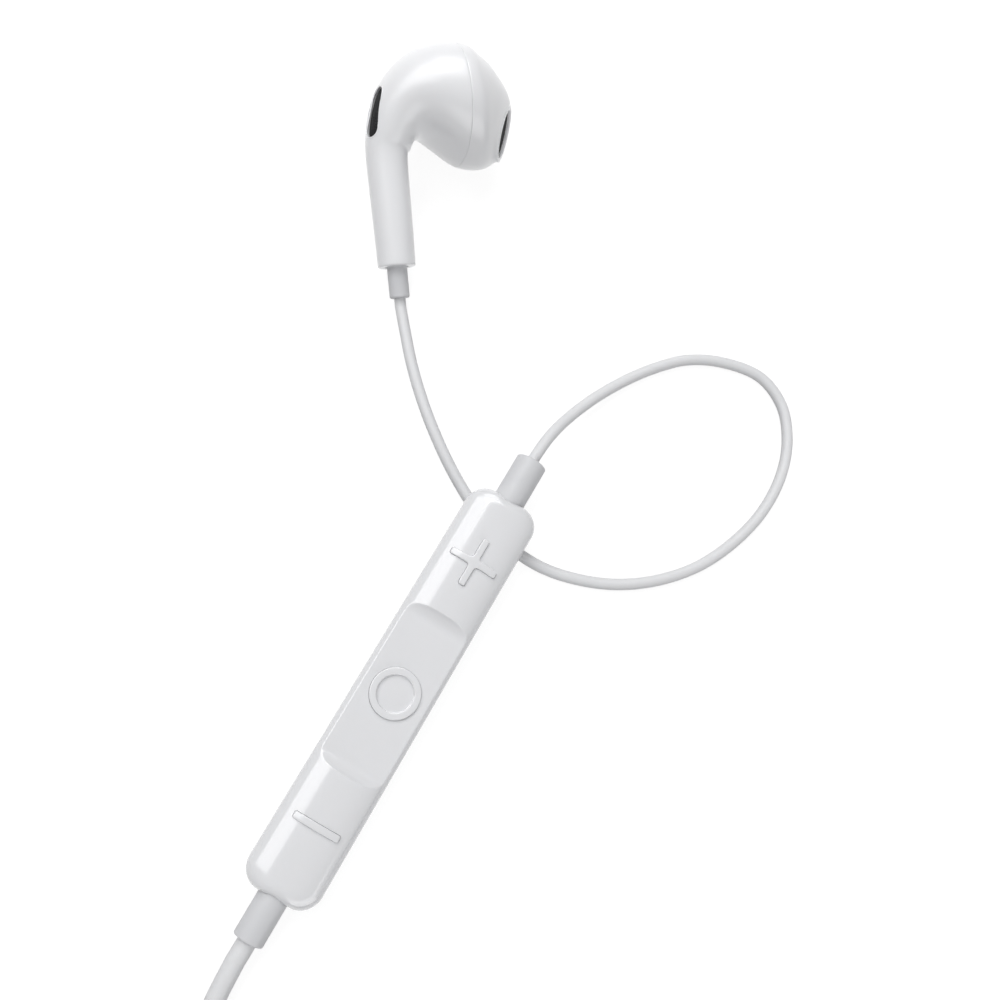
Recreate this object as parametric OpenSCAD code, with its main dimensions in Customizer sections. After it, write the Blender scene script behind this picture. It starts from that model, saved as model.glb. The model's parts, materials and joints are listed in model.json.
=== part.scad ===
// Wired earphones, laid out flat: two earbuds, an in-line remote, a splitter,
// the cords with their unused length coiled, and a 3.5 mm four-pole plug.
// Millimetres, +Z up. The table is z = 0, under the middle of the buds and remote.

/* [Earbuds] */
// Diameter of an earbud's head at its seam
head_d = 14; // [13.8:0.1:16]
// How deep the head is, front to back, against its height
fullness = 1.05; // [1:0.01:1.1]
// Length of the straight stem below the neck
stem_l = 11.8; // [9:0.1:20]
// Diameter of the stem at its lower end
stem_d = 4.3; // [4.1:0.1:5.4]
// Lean of the stem away from the head's own axis
stem_lean = 5.6; // [0:0.2:8]
// Wall of the earbud shells
bud_wall = 0.8; // [0.6:0.05:0.9]
// Length of the sound port
port_l = 5.8; // [5.4:0.1:6.6]
// Width of the sound port
port_w = 4.1; // [3.4:0.1:4.6]
// Depth of the port's short tunnel
port_depth = 0.9; // [0.6:0.05:1.1]
// Sideways cant of the port towards the ear canal
port_cant = 28; // [10:1:32]
// Length of the vent slot in the back of the head
vent_l = 5.8; // [4:0.1:6.4]
// Width of the vent slot
vent_w = 2.4; // [1.6:0.1:2.8]
// Depth of the meshes below the shell's surface
mesh_recess = 0.3; // [0.2:0.05:0.4]
// Thickness of the port and vent meshes
mesh_t = 0.35; // [0.2:0.05:0.45]

/* [Drivers] */
// Room between a driver's frame and the shell round it
driver_room = 0.7; // [0.7:0.05:0.9]
// Share of the driver's diameter that the magnet and its top plate take
magnet_share = 0.45; // [0.36:0.01:0.47]
// Thickness of the magnet
magnet_t = 1; // [0.6:0.05:1.1]
// Thickness of the top plate
plate_t = 0.5; // [0.3:0.05:0.6]
// Wall of the steel yoke
yoke_t = 0.45; // [0.3:0.05:0.5]
// Radial air gap between the top plate and the yoke
air_gap = 0.65; // [0.55:0.05:0.8]
// Wall of the voice coil
coil_t = 0.2; // [0.1:0.02:0.24]
// Travel of the voice coil and diaphragm each way
cone_travel = 0.1; // [0.05:0.01:0.12]

/* [Remote] */
// Length of the remote
remote_l = 46; // [42:0.5:52]
// Width of the remote
remote_w = 8.2; // [7.6:0.1:9.5]
// Thickness of the remote at its crown
remote_t = 4.6; // [4.5:0.05:5.2]
// Radius of the remote's corners seen from the front
remote_corner = 2.3; // [1.5:0.1:3.5]
// Wall of the remote's sides
remote_wall = 1; // [0.8:0.05:1.1]
// Thickness of the remote's back
back_t = 0.8; // [0.6:0.05:0.9]
// Thickness of the remote's end walls
end_wall = 2.6; // [2.2:0.1:3.2]
// Length of the finger dish
dish_l = 18.5; // [14:0.5:21]
// Depth of the finger dish below the crown
dish_depth = 0.85; // [0.5:0.05:1]
// Radius of the ramps at the ends of the dish
dish_ramp_r = 1.9; // [1.2:0.1:3]
// Distance from the middle of the remote to the plus key
plus_at = 15.5; // [14:0.1:17]
// Distance from the middle of the remote to the minus key
minus_at = 14.6; // [14:0.1:17]
// Shift of the keys and the dish towards the lower end
keys_shift = 0.7; // [0:0.1:1]
// Span of the plus key
plus_span = 5.4; // [4:0.1:5.6]
// Span of the minus key
minus_span = 5.1; // [4:0.1:5.8]
// Width of the bars of the plus and minus keys
bar_w = 0.75; // [0.5:0.05:1.2]
// Outer diameter of the play key
play_d = 5.3; // [4:0.1:5.6]
// Width of the raised ring on the play key
play_ring_w = 0.75; // [0.4:0.05:1.2]
// Height of the keys above the surface round them
key_rise = 0.3; // [0.15:0.05:0.6]
// Travel of the keys
key_travel = 0.25; // [0.1:0.05:0.3]
// Gap round a key in its opening
key_gap = 0.08; // [0.04:0.01:0.15]

/* [Cords and sleeves] */
// Diameter of the thin cords to the earbuds
thin_d = 1.3; // [1.2:0.05:1.5]
// Diameter of the cords below the remote and the splitter
thick_d = 2; // [1.8:0.05:2.2]
// Diameter of an earbud's sleeve
bud_sleeve_d = 2.3; // [2:0.1:2.6]
// Length of an earbud's sleeve
bud_sleeve_l = 3.5; // [2.5:0.1:5]
// Diameter of the remote's upper sleeve
upper_sleeve_d = 3.5; // [2.8:0.1:3.6]
// Length of the remote's upper sleeve
upper_sleeve_l = 5.1; // [3:0.1:6]
// Diameter of the remote's lower sleeve
lower_sleeve_d = 3.2; // [2.8:0.1:3.6]
// Length of the remote's lower sleeve
lower_sleeve_l = 4.4; // [3:0.1:6]
// Gap between the turns of a coil
turn_gap = 0.45; // [0.41:0.01:0.5]
// Width of the ties round the coils
tie_w = 3; // [2:0.5:4]
// Thickness of the ties
tie_t = 0.3; // [0.2:0.05:0.3]

/* [Splitter] */
// Length of the splitter
splitter_l = 15; // [12:0.5:16]
// Width of the splitter
splitter_w = 7; // [6:0.1:8]
// Thickness of the splitter
splitter_t = 3.6; // [3:0.1:4.4]

/* [Plug] */
// Diameter of the plug's grip
grip_d = 5.4; // [5:0.1:6.4]
// Length of the plug's grip
grip_l = 12.5; // [10:0.5:14]
// Length of the plug's bend relief
relief_l = 7; // [5:0.5:8]
// Width of the insulating rings between the contacts
insulator_w = 0.6; // [0.4:0.05:0.8]

/* [Hidden] */

// Colours
gloss_white = [0.93, 0.93, 0.95];
soft_white = [0.86, 0.86, 0.88];
mesh_grey = [0.22, 0.22, 0.23];
steel = [0.72, 0.73, 0.75];
film = [0.85, 0.8, 0.6];
copper = [0.78, 0.46, 0.25];
board_green = [0.1, 0.35, 0.2];
chip_black = [0.1, 0.1, 0.11];
insulator_white = [0.9, 0.9, 0.88];

// Clearances and small shared values
seat = 0.03;          // between pieces of one body that are glued or pressed
running = 0.05;       // round pieces that slide in one another
nudge = 0.01;         // lets a cut pass through a face
thin = 0.01;          // thickness of a slice inside a hull
lay_gap = 0.1;        // between a cord and what lies on it
facets = 32;          // round a lofted or hulled form
tube_sides = 8;
wound_sides = 6;
wound_rings = 24;     // rings in each turn of a coil

// ---------------------------------------------------------------- loft helpers
function unit(v) = v / norm(v);
function catmull(p, q, r, s, t) =
    0.5 * (2 * q + (r - p) * t + (2 * p - 5 * q + 4 * r - s) * t * t
    + (3 * q - p - 3 * r + s) * t * t * t);
function row_at(rows, s) =
    let (last = len(rows) - 1, i = min(floor(s), last - 1), t = s - i)
    catmull(
        i > 0 ? rows[i - 1] : 2 * rows[0] - rows[1], rows[i], rows[i + 1],
        i + 2 <= last ? rows[i + 2] : 2 * rows[last] - rows[last - 1], t);

// Joins rings of equal count into one solid, closed end to end or round in a loop
module skin(rings, looped = false) {
    sides = len(rings[0]);
    count = len(rings);
    spans = looped ? count : count - 1;
    walls = [
        for (i = [0 : spans - 1], k = [0 : sides - 1])
            let (
                j = (i + 1) % count, m = (k + 1) % sides,
                a = i * sides + k, b = i * sides + m,
                c = j * sides + m, d = j * sides + k
            )
            each [[a, b, c], [a, c, d]]
    ];
    ends = looped ? [] : [
        for (k = [1 : sides - 2])
            each [
                [0, k + 1, k],
                [(count - 1) * sides, (count - 1) * sides + k, (count - 1) * sides + k + 1]
            ]
    ];
    polyhedron(points = [for (r = rings) each r], faces = concat(walls, ends));
}

// ------------------------------------------------------------- earbud stations
// A station is a slice through the earbud: [lower x, lower y, upper x, upper y,
// half width, sideways shift, sideways turn]. Heads are in head radii.
head_r = head_d / 2;
deep_r = head_r * fullness;
stem_top = [-1.05 * deep_r, -0.964 * head_r];
stem_dir = [sin(stem_lean), -cos(stem_lean)];
stem_across = [-cos(stem_lean), -sin(stem_lean)];
stem_end = stem_top + stem_l * stem_dir;
neck_flare = 0.4;
neck_d = stem_d + neck_flare;
seam_low = [0.104, -0.945];
seam_high = -seam_low;
seam_turn = atan2(seam_high[1], seam_high[0] * fullness) - 90;

function head_row(low, high, half, shift = 0, turn = 0) = [
    low[0] * deep_r, low[1] * head_r, high[0] * deep_r, high[1] * head_r,
    half * head_r, shift, turn
];
function stem_row(middle, d) =
    let (low = middle - stem_across * d / 2, high = middle + stem_across * d / 2)
    [low[0], low[1], high[0], high[1], d / 2, 0, 0];

rear_rows = [
    head_row(seam_low, seam_high, 1),
    head_row([-0.05, -0.83], [-0.44, 0.875], 0.97),
    head_row([-0.22, -0.72], [-0.76, 0.715], 0.895),
    head_row([-0.375, -0.61], [-1.02, 0.455], 0.78),
    head_row([-0.51, -0.555], [-1.21, 0.14], 0.65),
    head_row([-0.605, -0.66], [-1.33, -0.24], 0.52),
    head_row([-0.7, -0.785], [-1.376, -0.6], 0.41),
    stem_row(stem_top, neck_d),
    stem_row((stem_top + stem_end) / 2, (neck_d + stem_d) / 2),
    stem_row(stem_end, stem_d)
];
port_middle = [0.8 * deep_r, -0.405 * head_r];
port_up = unit([0.24, 0.97]);
port_low = port_middle - port_up * port_l / 2;
port_high = port_middle + port_up * port_l / 2;
port_shift = 0.17 * head_r;
cap_rows = [
    head_row(seam_low, seam_high, 1),
    head_row([0.235, -0.95], [0.125, 0.915], 0.975, port_shift * 0.04, port_cant * 0.05),
    head_row([0.355, -0.965], [0.305, 0.81], 0.92, port_shift * 0.15, port_cant * 0.2),
    head_row([0.465, -0.96], [0.51, 0.685], 0.83, port_shift * 0.34, port_cant * 0.4),
    head_row([0.56, -0.91], [0.695, 0.495], 0.7, port_shift * 0.56, port_cant * 0.62),
    head_row([0.63, -0.85], [0.845, 0.27], 0.53, port_shift * 0.8, port_cant * 0.82),
    [port_low[0], port_low[1], port_high[0], port_high[1], port_w / 2, port_shift, port_cant]
];
cap_last = len(cap_rows) - 1;
rear_last = len(rear_rows) - 1;

// A ring of points round a station, drawn in by inset and moved back by depth
function station_ring(row, inset = 0, depth = 0, sides = facets) =
    let (
        low = [row[0], row[1]], high = [row[2], row[3]],
        up = unit(high - low), ahead = [up[1], -up[0]],
        middle = (low + high) / 2, half = norm(high - low) / 2 - inset,
        along = [up[0], up[1], 0],
        side = [-ahead[0] * sin(row[6]), -ahead[1] * sin(row[6]), cos(row[6])],
        out = [ahead[0] * cos(row[6]), ahead[1] * cos(row[6]), sin(row[6])],
        centre = [middle[0], middle[1], row[5]] - depth * out
    )
    [
        for (k = [0 : sides - 1])
            let (a = 360 * k / sides)
            centre + along * half * cos(a) + side * (row[4] - inset) * sin(a)
    ];

// ------------------------------------------------------------- earbud, own frame
lip_bevel = 0.08;     // softens both edges of the seam
port_rim = 0.45;
vent_at = [-1.33 * deep_r, -0.27 * head_r];
vent_turn = -10;
vent_reach = 2.2;     // how far the vent's cut goes in and out
first_share = 0.12;   // of a station's spacing, just off the seam's bevel
slices = 2;           // from one station to the next
vent_first = 3;       // stations that the vent's mesh lies between
vent_last = 7;

module on_seam() { rotate([0, 0, seam_turn]) rotate([0, 90, 0]) children(); }
module on_stem() {
    translate([stem_end[0], stem_end[1], 0])
        rotate([0, 0, stem_lean])
            rotate([90, 0, 0]) children();
}
module on_port() {
    translate([port_middle[0], port_middle[1], port_shift])
        rotate([0, 0, atan2(-port_up[0], port_up[1])])
            rotate([0, 90 - port_cant, 0]) children();
}
module bar(length, width) {
    square([length - width, width], center = true);
    for (end = [-1, 1]) translate([end * (length - width) / 2, 0]) circle(d = width, $fn = 48);
}
module vent_cut(clear) {
    translate([vent_at[0], vent_at[1], 0])
        rotate([0, 0, vent_turn])
            rotate([0, -90, 0])
                linear_extrude(2 * vent_reach, center = true)
                    rotate(90) bar(vent_l - 2 * clear, vent_w - 2 * clear);
}
module housing_shell() {
    color(gloss_white)
        difference() {
            skin(concat(
                [station_ring(rear_rows[0], lip_bevel), station_ring(row_at(rear_rows, first_share))],
                [for (k = [1 : slices * rear_last]) station_ring(row_at(rear_rows, k / slices))],
                [for (s = [rear_last : -1 : 0]) station_ring(rear_rows[s], bud_wall)]
            ), true);
            vent_cut(0);
        }
}
module cap_shell() {
    color(gloss_white)
        skin(concat(
            [for (k = [slices * cap_last : -1 : 1]) station_ring(row_at(cap_rows, k / slices))],
            [station_ring(row_at(cap_rows, first_share)), station_ring(cap_rows[0], lip_bevel)],
            [for (s = [0 : 1 : cap_last - 2]) station_ring(cap_rows[s], bud_wall)],
            [
                station_ring(cap_rows[cap_last], port_rim, port_depth),
                station_ring(cap_rows[cap_last], port_rim)
            ]
        ), true);
}
module port_mesh() {
    color(mesh_grey)
        on_port()
            translate([0, 0, -port_depth])
                linear_extrude(mesh_t)
                    polygon([
                        for (k = [0 : facets - 1])
                            let (a = 360 * k / facets)
                            [
                                (port_w / 2 - port_rim - seat) * sin(a),
                                (port_l / 2 - port_rim - seat) * cos(a)
                            ]
                    ]);
}
module vent_mesh() {
    color(mesh_grey)
        intersection() {
            skin(concat(
                [for (k = [slices * vent_first : slices * vent_last])
                    station_ring(row_at(rear_rows, k / slices), mesh_recess)],
                [for (k = [slices * vent_last : -1 : slices * vent_first])
                    station_ring(row_at(rear_rows, k / slices), mesh_recess + mesh_t)]
            ), true);
            vent_cut(seat);
        }
}

// The driver stands on the seam's axis, its magnet behind and its diaphragm ahead
driver_r = head_r - bud_wall - driver_room;
magnet_r = driver_r * magnet_share;
yoke_in_r = magnet_r + air_gap;
yoke_out_r = yoke_in_r + yoke_t;
frame_t = 0.35;
frame_hole_r = yoke_out_r + running;
gap_top = -0.11 * head_r;  // top of the top plate, along the seam's axis
yoke_floor = gap_top - plate_t - magnet_t - 2 * seat;
yoke_back = yoke_floor - yoke_t;
shelf_z = 0.15;       // ledge under the diaphragm's edge
cover_t = 0.25;
cone_z = 0.4;         // underside of the diaphragm's edge
cone_t = 0.1;
cone_clear = 0.2;     // left between the diaphragm's travel and the cover
rim_z = cone_z + 2 * cone_t + cone_travel + cone_clear;
collar_l = 1;         // of the frame, round the yoke
ledge_w = 1;
ledge_fall = 0.3;
cone_edge = 0.15;     // between the diaphragm and the frame round it
cone_r = driver_r - frame_t - cone_edge;
coil_r = magnet_r + air_gap / 2;
coil_l = 2;
cone_dip = 0.3;       // fall of the diaphragm where the voice coil meets it
dome_share = 0.6;
dome_rise = 0.1;
surround_rise = 0.05;
surround_edge = 0.3;

module driver_frame() {
    color(steel)
        on_seam()
            rotate_extrude($fn = 64)
                polygon([
                    [frame_hole_r, gap_top - collar_l], [frame_hole_r + frame_t, gap_top - collar_l],
                    [frame_hole_r + frame_t, gap_top - collar_l / 2],
                    [driver_r - ledge_w, shelf_z - frame_t - ledge_fall],
                    [driver_r, shelf_z - frame_t], [driver_r, rim_z],
                    [driver_r - frame_t, rim_z], [driver_r - frame_t, shelf_z],
                    [driver_r - ledge_w, shelf_z - ledge_fall], [frame_hole_r, gap_top - ledge_fall]
                ]);
}
module driver_yoke() {
    color(steel)
        on_seam()
            rotate_extrude($fn = 64)
                polygon([
                    [0, yoke_back], [yoke_out_r, yoke_back], [yoke_out_r, gap_top],
                    [yoke_in_r, gap_top], [yoke_in_r, yoke_floor], [0, yoke_floor]
                ]);
}
module driver_magnet() {
    color(steel)
        on_seam() translate([0, 0, yoke_floor + seat]) cylinder(h = magnet_t, r = magnet_r, $fn = 64);
}
module driver_top_plate() {
    color(steel)
        on_seam() translate([0, 0, gap_top - plate_t]) cylinder(h = plate_t, r = magnet_r, $fn = 64);
}
module voice_coil() {
    color(copper)
        on_seam()
            translate([0, 0, cone_z - coil_l - cone_dip])
                rotate_extrude($fn = 64)
                    translate([coil_r - coil_t / 2, 0]) square([coil_t, coil_l]);
}
module diaphragm() {
    crown_r = coil_r + coil_t;
    under = [
        [0, cone_z + dome_rise], [crown_r * dome_share, cone_z], [crown_r, cone_z - cone_dip],
        [(crown_r + cone_r) / 2, cone_z + surround_rise], [cone_r - surround_edge, cone_z],
        [cone_r, cone_z]
    ];
    color(film)
        on_seam()
            rotate_extrude($fn = 64)
                polygon(concat(
                    under, [for (k = [len(under) - 1 : -1 : 0]) under[k] + [0, cone_t]]));
}
cover_holes = 6;
module driver_cover() {
    color(steel)
        on_seam()
            difference() {
                translate([0, 0, rim_z]) cylinder(h = cover_t, r = driver_r, $fn = 64);
                for (k = [0 : cover_holes - 1])
                    rotate(360 * k / cover_holes)
                        translate([driver_r * 0.5, 0, rim_z - nudge])
                            cylinder(h = cover_t + 2 * nudge, d = driver_r * 0.2, $fn = 24);
            }
}
// The sleeve's own flange closes the open end of the stem
flange_t = 0.8;
sleeve_tail = 3;
stem_in_r = stem_d / 2 - bud_wall;
module bud_sleeve() {
    color(soft_white)
        on_stem() {
            translate([0, 0, -flange_t]) cylinder(h = flange_t, r = stem_in_r - 2 * seat, $fn = 64);
            cylinder(h = bud_sleeve_l, d = bud_sleeve_d, $fn = 64);
            translate([0, 0, -flange_t - sleeve_tail])
                cylinder(h = sleeve_tail, d = thin_d, $fn = 64);
        }
}

// ------------------------------------------------------------- where things lie
// A bud lies on its head and the end of its sleeve, its back turned up a little
bud_roll = 8;
sleeve_end = stem_end + bud_sleeve_l * stem_dir;
bud_pitch = asin(
    (head_r - sleeve_end[0] * sin(bud_roll) - bud_sleeve_d / 2) / (-sleeve_end[1] * cos(bud_roll)));
right_bud_at = [-11.4, 55.85];
right_bud_yaw = 5.5;
left_bud_at = [24.45, -52.2];
left_bud_yaw = -90;
module right_bud() {
    translate([right_bud_at[0], right_bud_at[1], head_r])
        rotate([bud_pitch, bud_roll, right_bud_yaw]) children();
}
module left_bud() {
    translate([left_bud_at[0], left_bud_at[1], head_r])
        rotate([bud_pitch, -bud_roll, left_bud_yaw])
            mirror([1, 0, 0]) children();
}
function turned(v, a) =
    let (
        x = [v[0], v[1] * cos(a[0]) - v[2] * sin(a[0]), v[1] * sin(a[0]) + v[2] * cos(a[0])],
        y = [x[0] * cos(a[1]) + x[2] * sin(a[1]), x[1], -x[0] * sin(a[1]) + x[2] * cos(a[1])]
    )
    [y[0] * cos(a[2]) - y[1] * sin(a[2]), y[0] * sin(a[2]) + y[1] * cos(a[2]), y[2]];
function in_right_bud(v) =
    [right_bud_at[0], right_bud_at[1], head_r] + turned(v, [bud_pitch, bud_roll, right_bud_yaw]);
function in_left_bud(v) =
    [left_bud_at[0], left_bud_at[1], head_r]
    + turned([-v[0], v[1], v[2]], [bud_pitch, -bud_roll, left_bud_yaw]);
function down_stem(h) =
    [stem_end[0] + stem_dir[0] * h, stem_end[1] + stem_dir[1] * h, 0];

// The remote's frame: x from its lower end to its upper, z up from its back.
// Its upper end lies on the thin cord, which crosses beneath it.
remote_yaw = 60.1;
remote_middle = [-15.8, -9.4];
back_round = 1.1;
cord_crossing = 2;    // where the cord passes, from the upper end
remote_pitch = asin((thin_d + lay_gap) / (remote_l - cord_crossing - back_round));
remote_foot = [
    remote_middle[0] - cos(remote_yaw) * cos(remote_pitch) * remote_l / 2,
    remote_middle[1] - sin(remote_yaw) * cos(remote_pitch) * remote_l / 2, 0
];
module on_remote() {
    translate(remote_foot) rotate([0, -remote_pitch, remote_yaw]) children();
}
function in_remote(v) = remote_foot + turned(v, [0, -remote_pitch, remote_yaw]);

// ------------------------------------------------------------- remote, own frame
edge_round = 2;       // height of the rounding along the front's edges
front_power = 2.3;    // how full that rounding is
end_round = 1.6;      // its reach at the two ends
shoulder_z = remote_t - edge_round;
parting_z = remote_t / 2;
dish_z = remote_t - dish_depth;
dish_skin = 0.7;
cavity_top = dish_z - dish_skin;
board_t = 0.6;
board_z = back_t + seat;
switch_z = board_z + board_t;
switch_h = 0.5;
key_flange_t = 0.5;
key_flange_z = cavity_top - running - key_flange_t;
plunger_z = switch_z + key_travel + running;
plunger_d = 1.3;
plunger_play = 0.1;   // round a plunger in its switch
switch_l = 3.2;
switch_w = 2.8;
axis_z = parting_z;
half_w = remote_w / 2;

module plan(side, end, corner) {
    x = remote_l / 2 - end - corner;
    y = half_w - side - corner;
    translate([remote_l / 2, 0]) {
        square([2 * (x + corner), 2 * y], center = true);
        square([2 * x, 2 * (y + corner)], center = true);
        for (i = [-1, 1], j = [-1, 1]) translate([i * x, j * y]) circle(corner, $fn = facets);
    }
}
// Shares of the way from the edge to the middle at which the front is sliced
front_shares = [0, 0.01, 0.03, 0.06, 0.12, 0.2, 0.3, 0.46, 0.66, 0.86];
function front_z(share) =
    shoulder_z + edge_round * pow(1 - pow(1 - share, front_power), 1 / front_power);
module front_blank() {
    hull() {
        translate([0, 0, parting_z]) linear_extrude(thin) plan(0, 0, remote_corner);
        for (share = front_shares)
            translate([0, 0, front_z(share) - thin])
                linear_extrude(thin)
                    plan(share * half_w, share * end_round, remote_corner * (1 - share));
    }
}
module back_blank() {
    hull() {
        translate([0, 0, back_round]) linear_extrude(parting_z - back_round) plan(0, 0, remote_corner);
        for (a = [22.5 : 22.5 : 90]) {
            inset = back_round * (1 - cos(a));
            translate([0, 0, back_round * (1 - sin(a))])
                linear_extrude(thin) plan(inset, inset, max(remote_corner - inset, back_round / 4));
        }
    }
}
module cavity(z, h) {
    translate([end_wall, -half_w + remote_wall, z])
        cube([remote_l - 2 * end_wall, remote_w - 2 * remote_wall, h]);
}
tongue_l = 0.7;
tongue_w = 1.3;
tongue_h = 0.6;
tongue_shift = 0.4;   // from the middle of the end wall, inwards
module tongues(clear) {
    for (x = [end_wall / 2 + tongue_shift, remote_l - end_wall / 2 - tongue_shift], y = [-1, 1])
        translate([x, y * (half_w - remote_wall - tongue_w / 2), parting_z - tongue_h / 2])
            cube([tongue_l + 2 * clear, tongue_w + 2 * clear, tongue_h + 2 * clear], center = true);
}
sleeve_root = 1.2;    // how far the sleeves reach into the remote's ends
module sleeve_bore(end, d) {
    translate([end * remote_l, 0, axis_z])
        rotate([0, end == 0 ? 90 : -90, 0]) {
            translate([0, 0, -nudge])
                cylinder(h = sleeve_root + seat + nudge, d = d + 2 * seat, $fn = 64);
            cylinder(h = end_wall + nudge, d = thick_d + 2 * running, $fn = 64);
        }
}
module sleeve_bores() {
    sleeve_bore(0, lower_sleeve_d);
    sleeve_bore(1, upper_sleeve_d);
}
module dish_cut() {
    reach = dish_l / 2 - sqrt(dish_ramp_r * dish_ramp_r - pow(dish_ramp_r - dish_depth, 2));
    translate([play_x, 0, dish_z])
        rotate([90, 0, 0])
            linear_extrude(remote_w + 2, center = true) {
                translate([-reach, 0]) square([2 * reach, dish_depth + 1]);
                for (end = [-1, 1])
                    translate([end * reach, 0])
                        intersection() {
                            translate([0, dish_ramp_r]) circle(dish_ramp_r, $fn = 96);
                            translate([-dish_ramp_r, 0]) square([2 * dish_ramp_r, dish_depth + nudge]);
                        }
            }
}
play_x = remote_l / 2 - keys_shift;
plus_x = play_x + plus_at;
minus_x = play_x - minus_at;
key_corner = 0.22;    // rounding of the bars' outer corners
key_fillet = 0.35;    // and of the plus key's inner ones
function round_corner(before, at, after, r) =
    let (u = unit(before - at), v = unit(after - at))
    [for (t = [0 : 30 : 90]) at + (u + v - u * sin(t) - v * cos(t)) * r];
module rounded(corners, radii) {
    last = len(corners);
    polygon([
        for (i = [0 : last - 1])
            each round_corner(
                corners[(i + last - 1) % last], corners[i], corners[(i + 1) % last], radii[i])
    ]);
}
module plus_shape(grow) {
    h = plus_span / 2 + grow;
    b = bar_w / 2 + grow;
    outer = key_corner + grow;
    inner = key_fillet - grow;
    rounded(
        [
            [h, -b], [h, b], [b, b], [b, h], [-b, h], [-b, b],
            [-h, b], [-h, -b], [-b, -b], [-b, -h], [b, -h], [b, -b]
        ],
        [for (k = [0 : 3]) each [outer, outer, inner]]
    );
}
module minus_shape(grow) {
    h = minus_span / 2 + grow;
    b = bar_w / 2 + grow;
    rounded([[b, -h], [b, h], [-b, h], [-b, -h]], [for (k = [0 : 3]) key_corner + grow]);
}
module play_shape(grow) { circle(d = play_d + 2 * grow, $fn = 96); }
module at_key(x, z) { translate([x, 0, z]) children(); }
cut_h = remote_t;

module remote_back_shell() {
    color(gloss_white)
        on_remote()
            difference() {
                back_blank();
                cavity(back_t, remote_t);
                tongues(running);
                sleeve_bores();
                translate([mic_x, 0, -nudge]) cylinder(h = back_t + 2 * nudge, d = mic_hole_d, $fn = 32);
            }
}
module remote_front_cover() {
    color(gloss_white)
        on_remote() {
            difference() {
                front_blank();
                cavity(parting_z - nudge, cavity_top - parting_z + nudge);
                sleeve_bores();
                dish_cut();
                at_key(plus_x, parting_z) linear_extrude(cut_h) plus_shape(key_gap);
                at_key(play_x, parting_z) linear_extrude(cut_h) play_shape(key_gap);
                at_key(minus_x, parting_z) linear_extrude(cut_h) minus_shape(key_gap);
            }
            tongues(0);
        }
}
key_top = remote_t + key_rise;
key_side_gap = 0.15; // between a key's body and the cavity's sides
key_body_l = remote_w - 2 * (remote_wall + key_side_gap);
crown_r = 9.6;        // roundness of the plus and minus keys' tops, across the remote
module crowned() {
    intersection() {
        linear_extrude(key_top - key_flange_z) children();
        translate([0, 0, key_top - key_flange_z - crown_r])
            rotate([0, 90, 0]) cylinder(h = remote_w, r = crown_r, center = true, $fn = 128);
    }
}
module plus_key() {
    color(gloss_white)
        on_remote()
            at_key(plus_x, key_flange_z) {
                translate([-key_body_l / 2, -key_body_l / 2, 0])
                    cube([key_body_l, key_body_l, key_flange_t]);
                crowned() plus_shape(0);
            }
}
module minus_key() {
    color(gloss_white)
        on_remote()
            at_key(minus_x, key_flange_z) {
                translate([-key_body_l / 4, -key_body_l / 2, 0])
                    cube([key_body_l / 2, key_body_l, key_flange_t]);
                crowned() minus_shape(0);
            }
}
module play_key() {
    color(gloss_white)
        on_remote()
            at_key(play_x, key_flange_z) {
                cylinder(h = key_flange_t, d = key_body_l, $fn = 96);
                linear_extrude(dish_z - key_flange_z) play_shape(0);
                difference() {
                    linear_extrude(dish_z + key_rise - key_flange_z) play_shape(0);
                    linear_extrude(2 * remote_t) play_shape(-play_ring_w);
                }
            }
}
module plunger(x) {
    color(chip_black)
        on_remote() at_key(x, plunger_z) cylinder(h = key_flange_z - plunger_z, d = plunger_d, $fn = 48);
}
module plus_plunger() { plunger(plus_x); }
module play_plunger() { plunger(play_x); }
module minus_plunger() { plunger(minus_x); }
module key_switches() {
    color(steel)
        on_remote()
            for (x = [plus_x, play_x, minus_x])
                at_key(x, switch_z)
                    difference() {
                        translate([-switch_l / 2, -switch_w / 2, 0]) cube([switch_l, switch_w, switch_h]);
                        translate([0, 0, -nudge])
                            cylinder(h = switch_h + 2 * nudge, r = plunger_d / 2 + plunger_play, $fn = 48);
                    }
}
module circuit_board() {
    color(board_green)
        on_remote()
            translate([end_wall + running, -half_w + remote_wall + running, board_z])
                cube([
                    remote_l - 2 * end_wall - 2 * running, remote_w - 2 * remote_wall - 2 * running, board_t
                ]);
}
mic_x = (play_x + plus_x) / 2;
chip_x = (play_x + minus_x) / 2;
mic_hole_d = 0.8;
mic = [2.8, 1.9, 0.9];
chip = [3, 3, 0.8];
module on_board(x, size) {
    on_remote() translate([x - size[0] / 2, -size[1] / 2, switch_z]) cube(size);
}
module microphone() { color(steel) on_board(mic_x, mic); }
module control_chip() { color(chip_black) on_board(chip_x, chip); }
module remote_sleeve(end, length, d) {
    color(soft_white)
        on_remote()
            translate([end * remote_l, 0, axis_z])
                rotate([0, end == 0 ? -90 : 90, 0]) {
                    translate([0, 0, -sleeve_root])
                        cylinder(h = sleeve_root + length, d = d, $fn = 64);
                    translate([0, 0, -end_wall]) cylinder(h = end_wall, d = thick_d, $fn = 64);
                }
}
module upper_sleeve() { remote_sleeve(1, upper_sleeve_l, upper_sleeve_d); }
module lower_sleeve() { remote_sleeve(0, lower_sleeve_l, lower_sleeve_d); }

// ------------------------------------------------------------- cords
// Sweeps a tube along points; each ring stands square to the way
module tube(way, d, sides = tube_sides) {
    last = len(way) - 1;
    skin([
        for (i = [0 : last])
            let (
                ahead = unit(i == 0 ? way[1] - way[0]
                    : i == last ? way[last] - way[last - 1] : way[i + 1] - way[i - 1]),
                side = unit(cross(ahead, [0, 0, 1])),
                up = cross(side, ahead)
            )
            [
                for (k = [0 : sides - 1])
                    let (a = 360 * (k + 0.5) / sides)
                    way[i] + (side * cos(a) + up * sin(a)) * d / 2
            ]
    ]);
}

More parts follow.
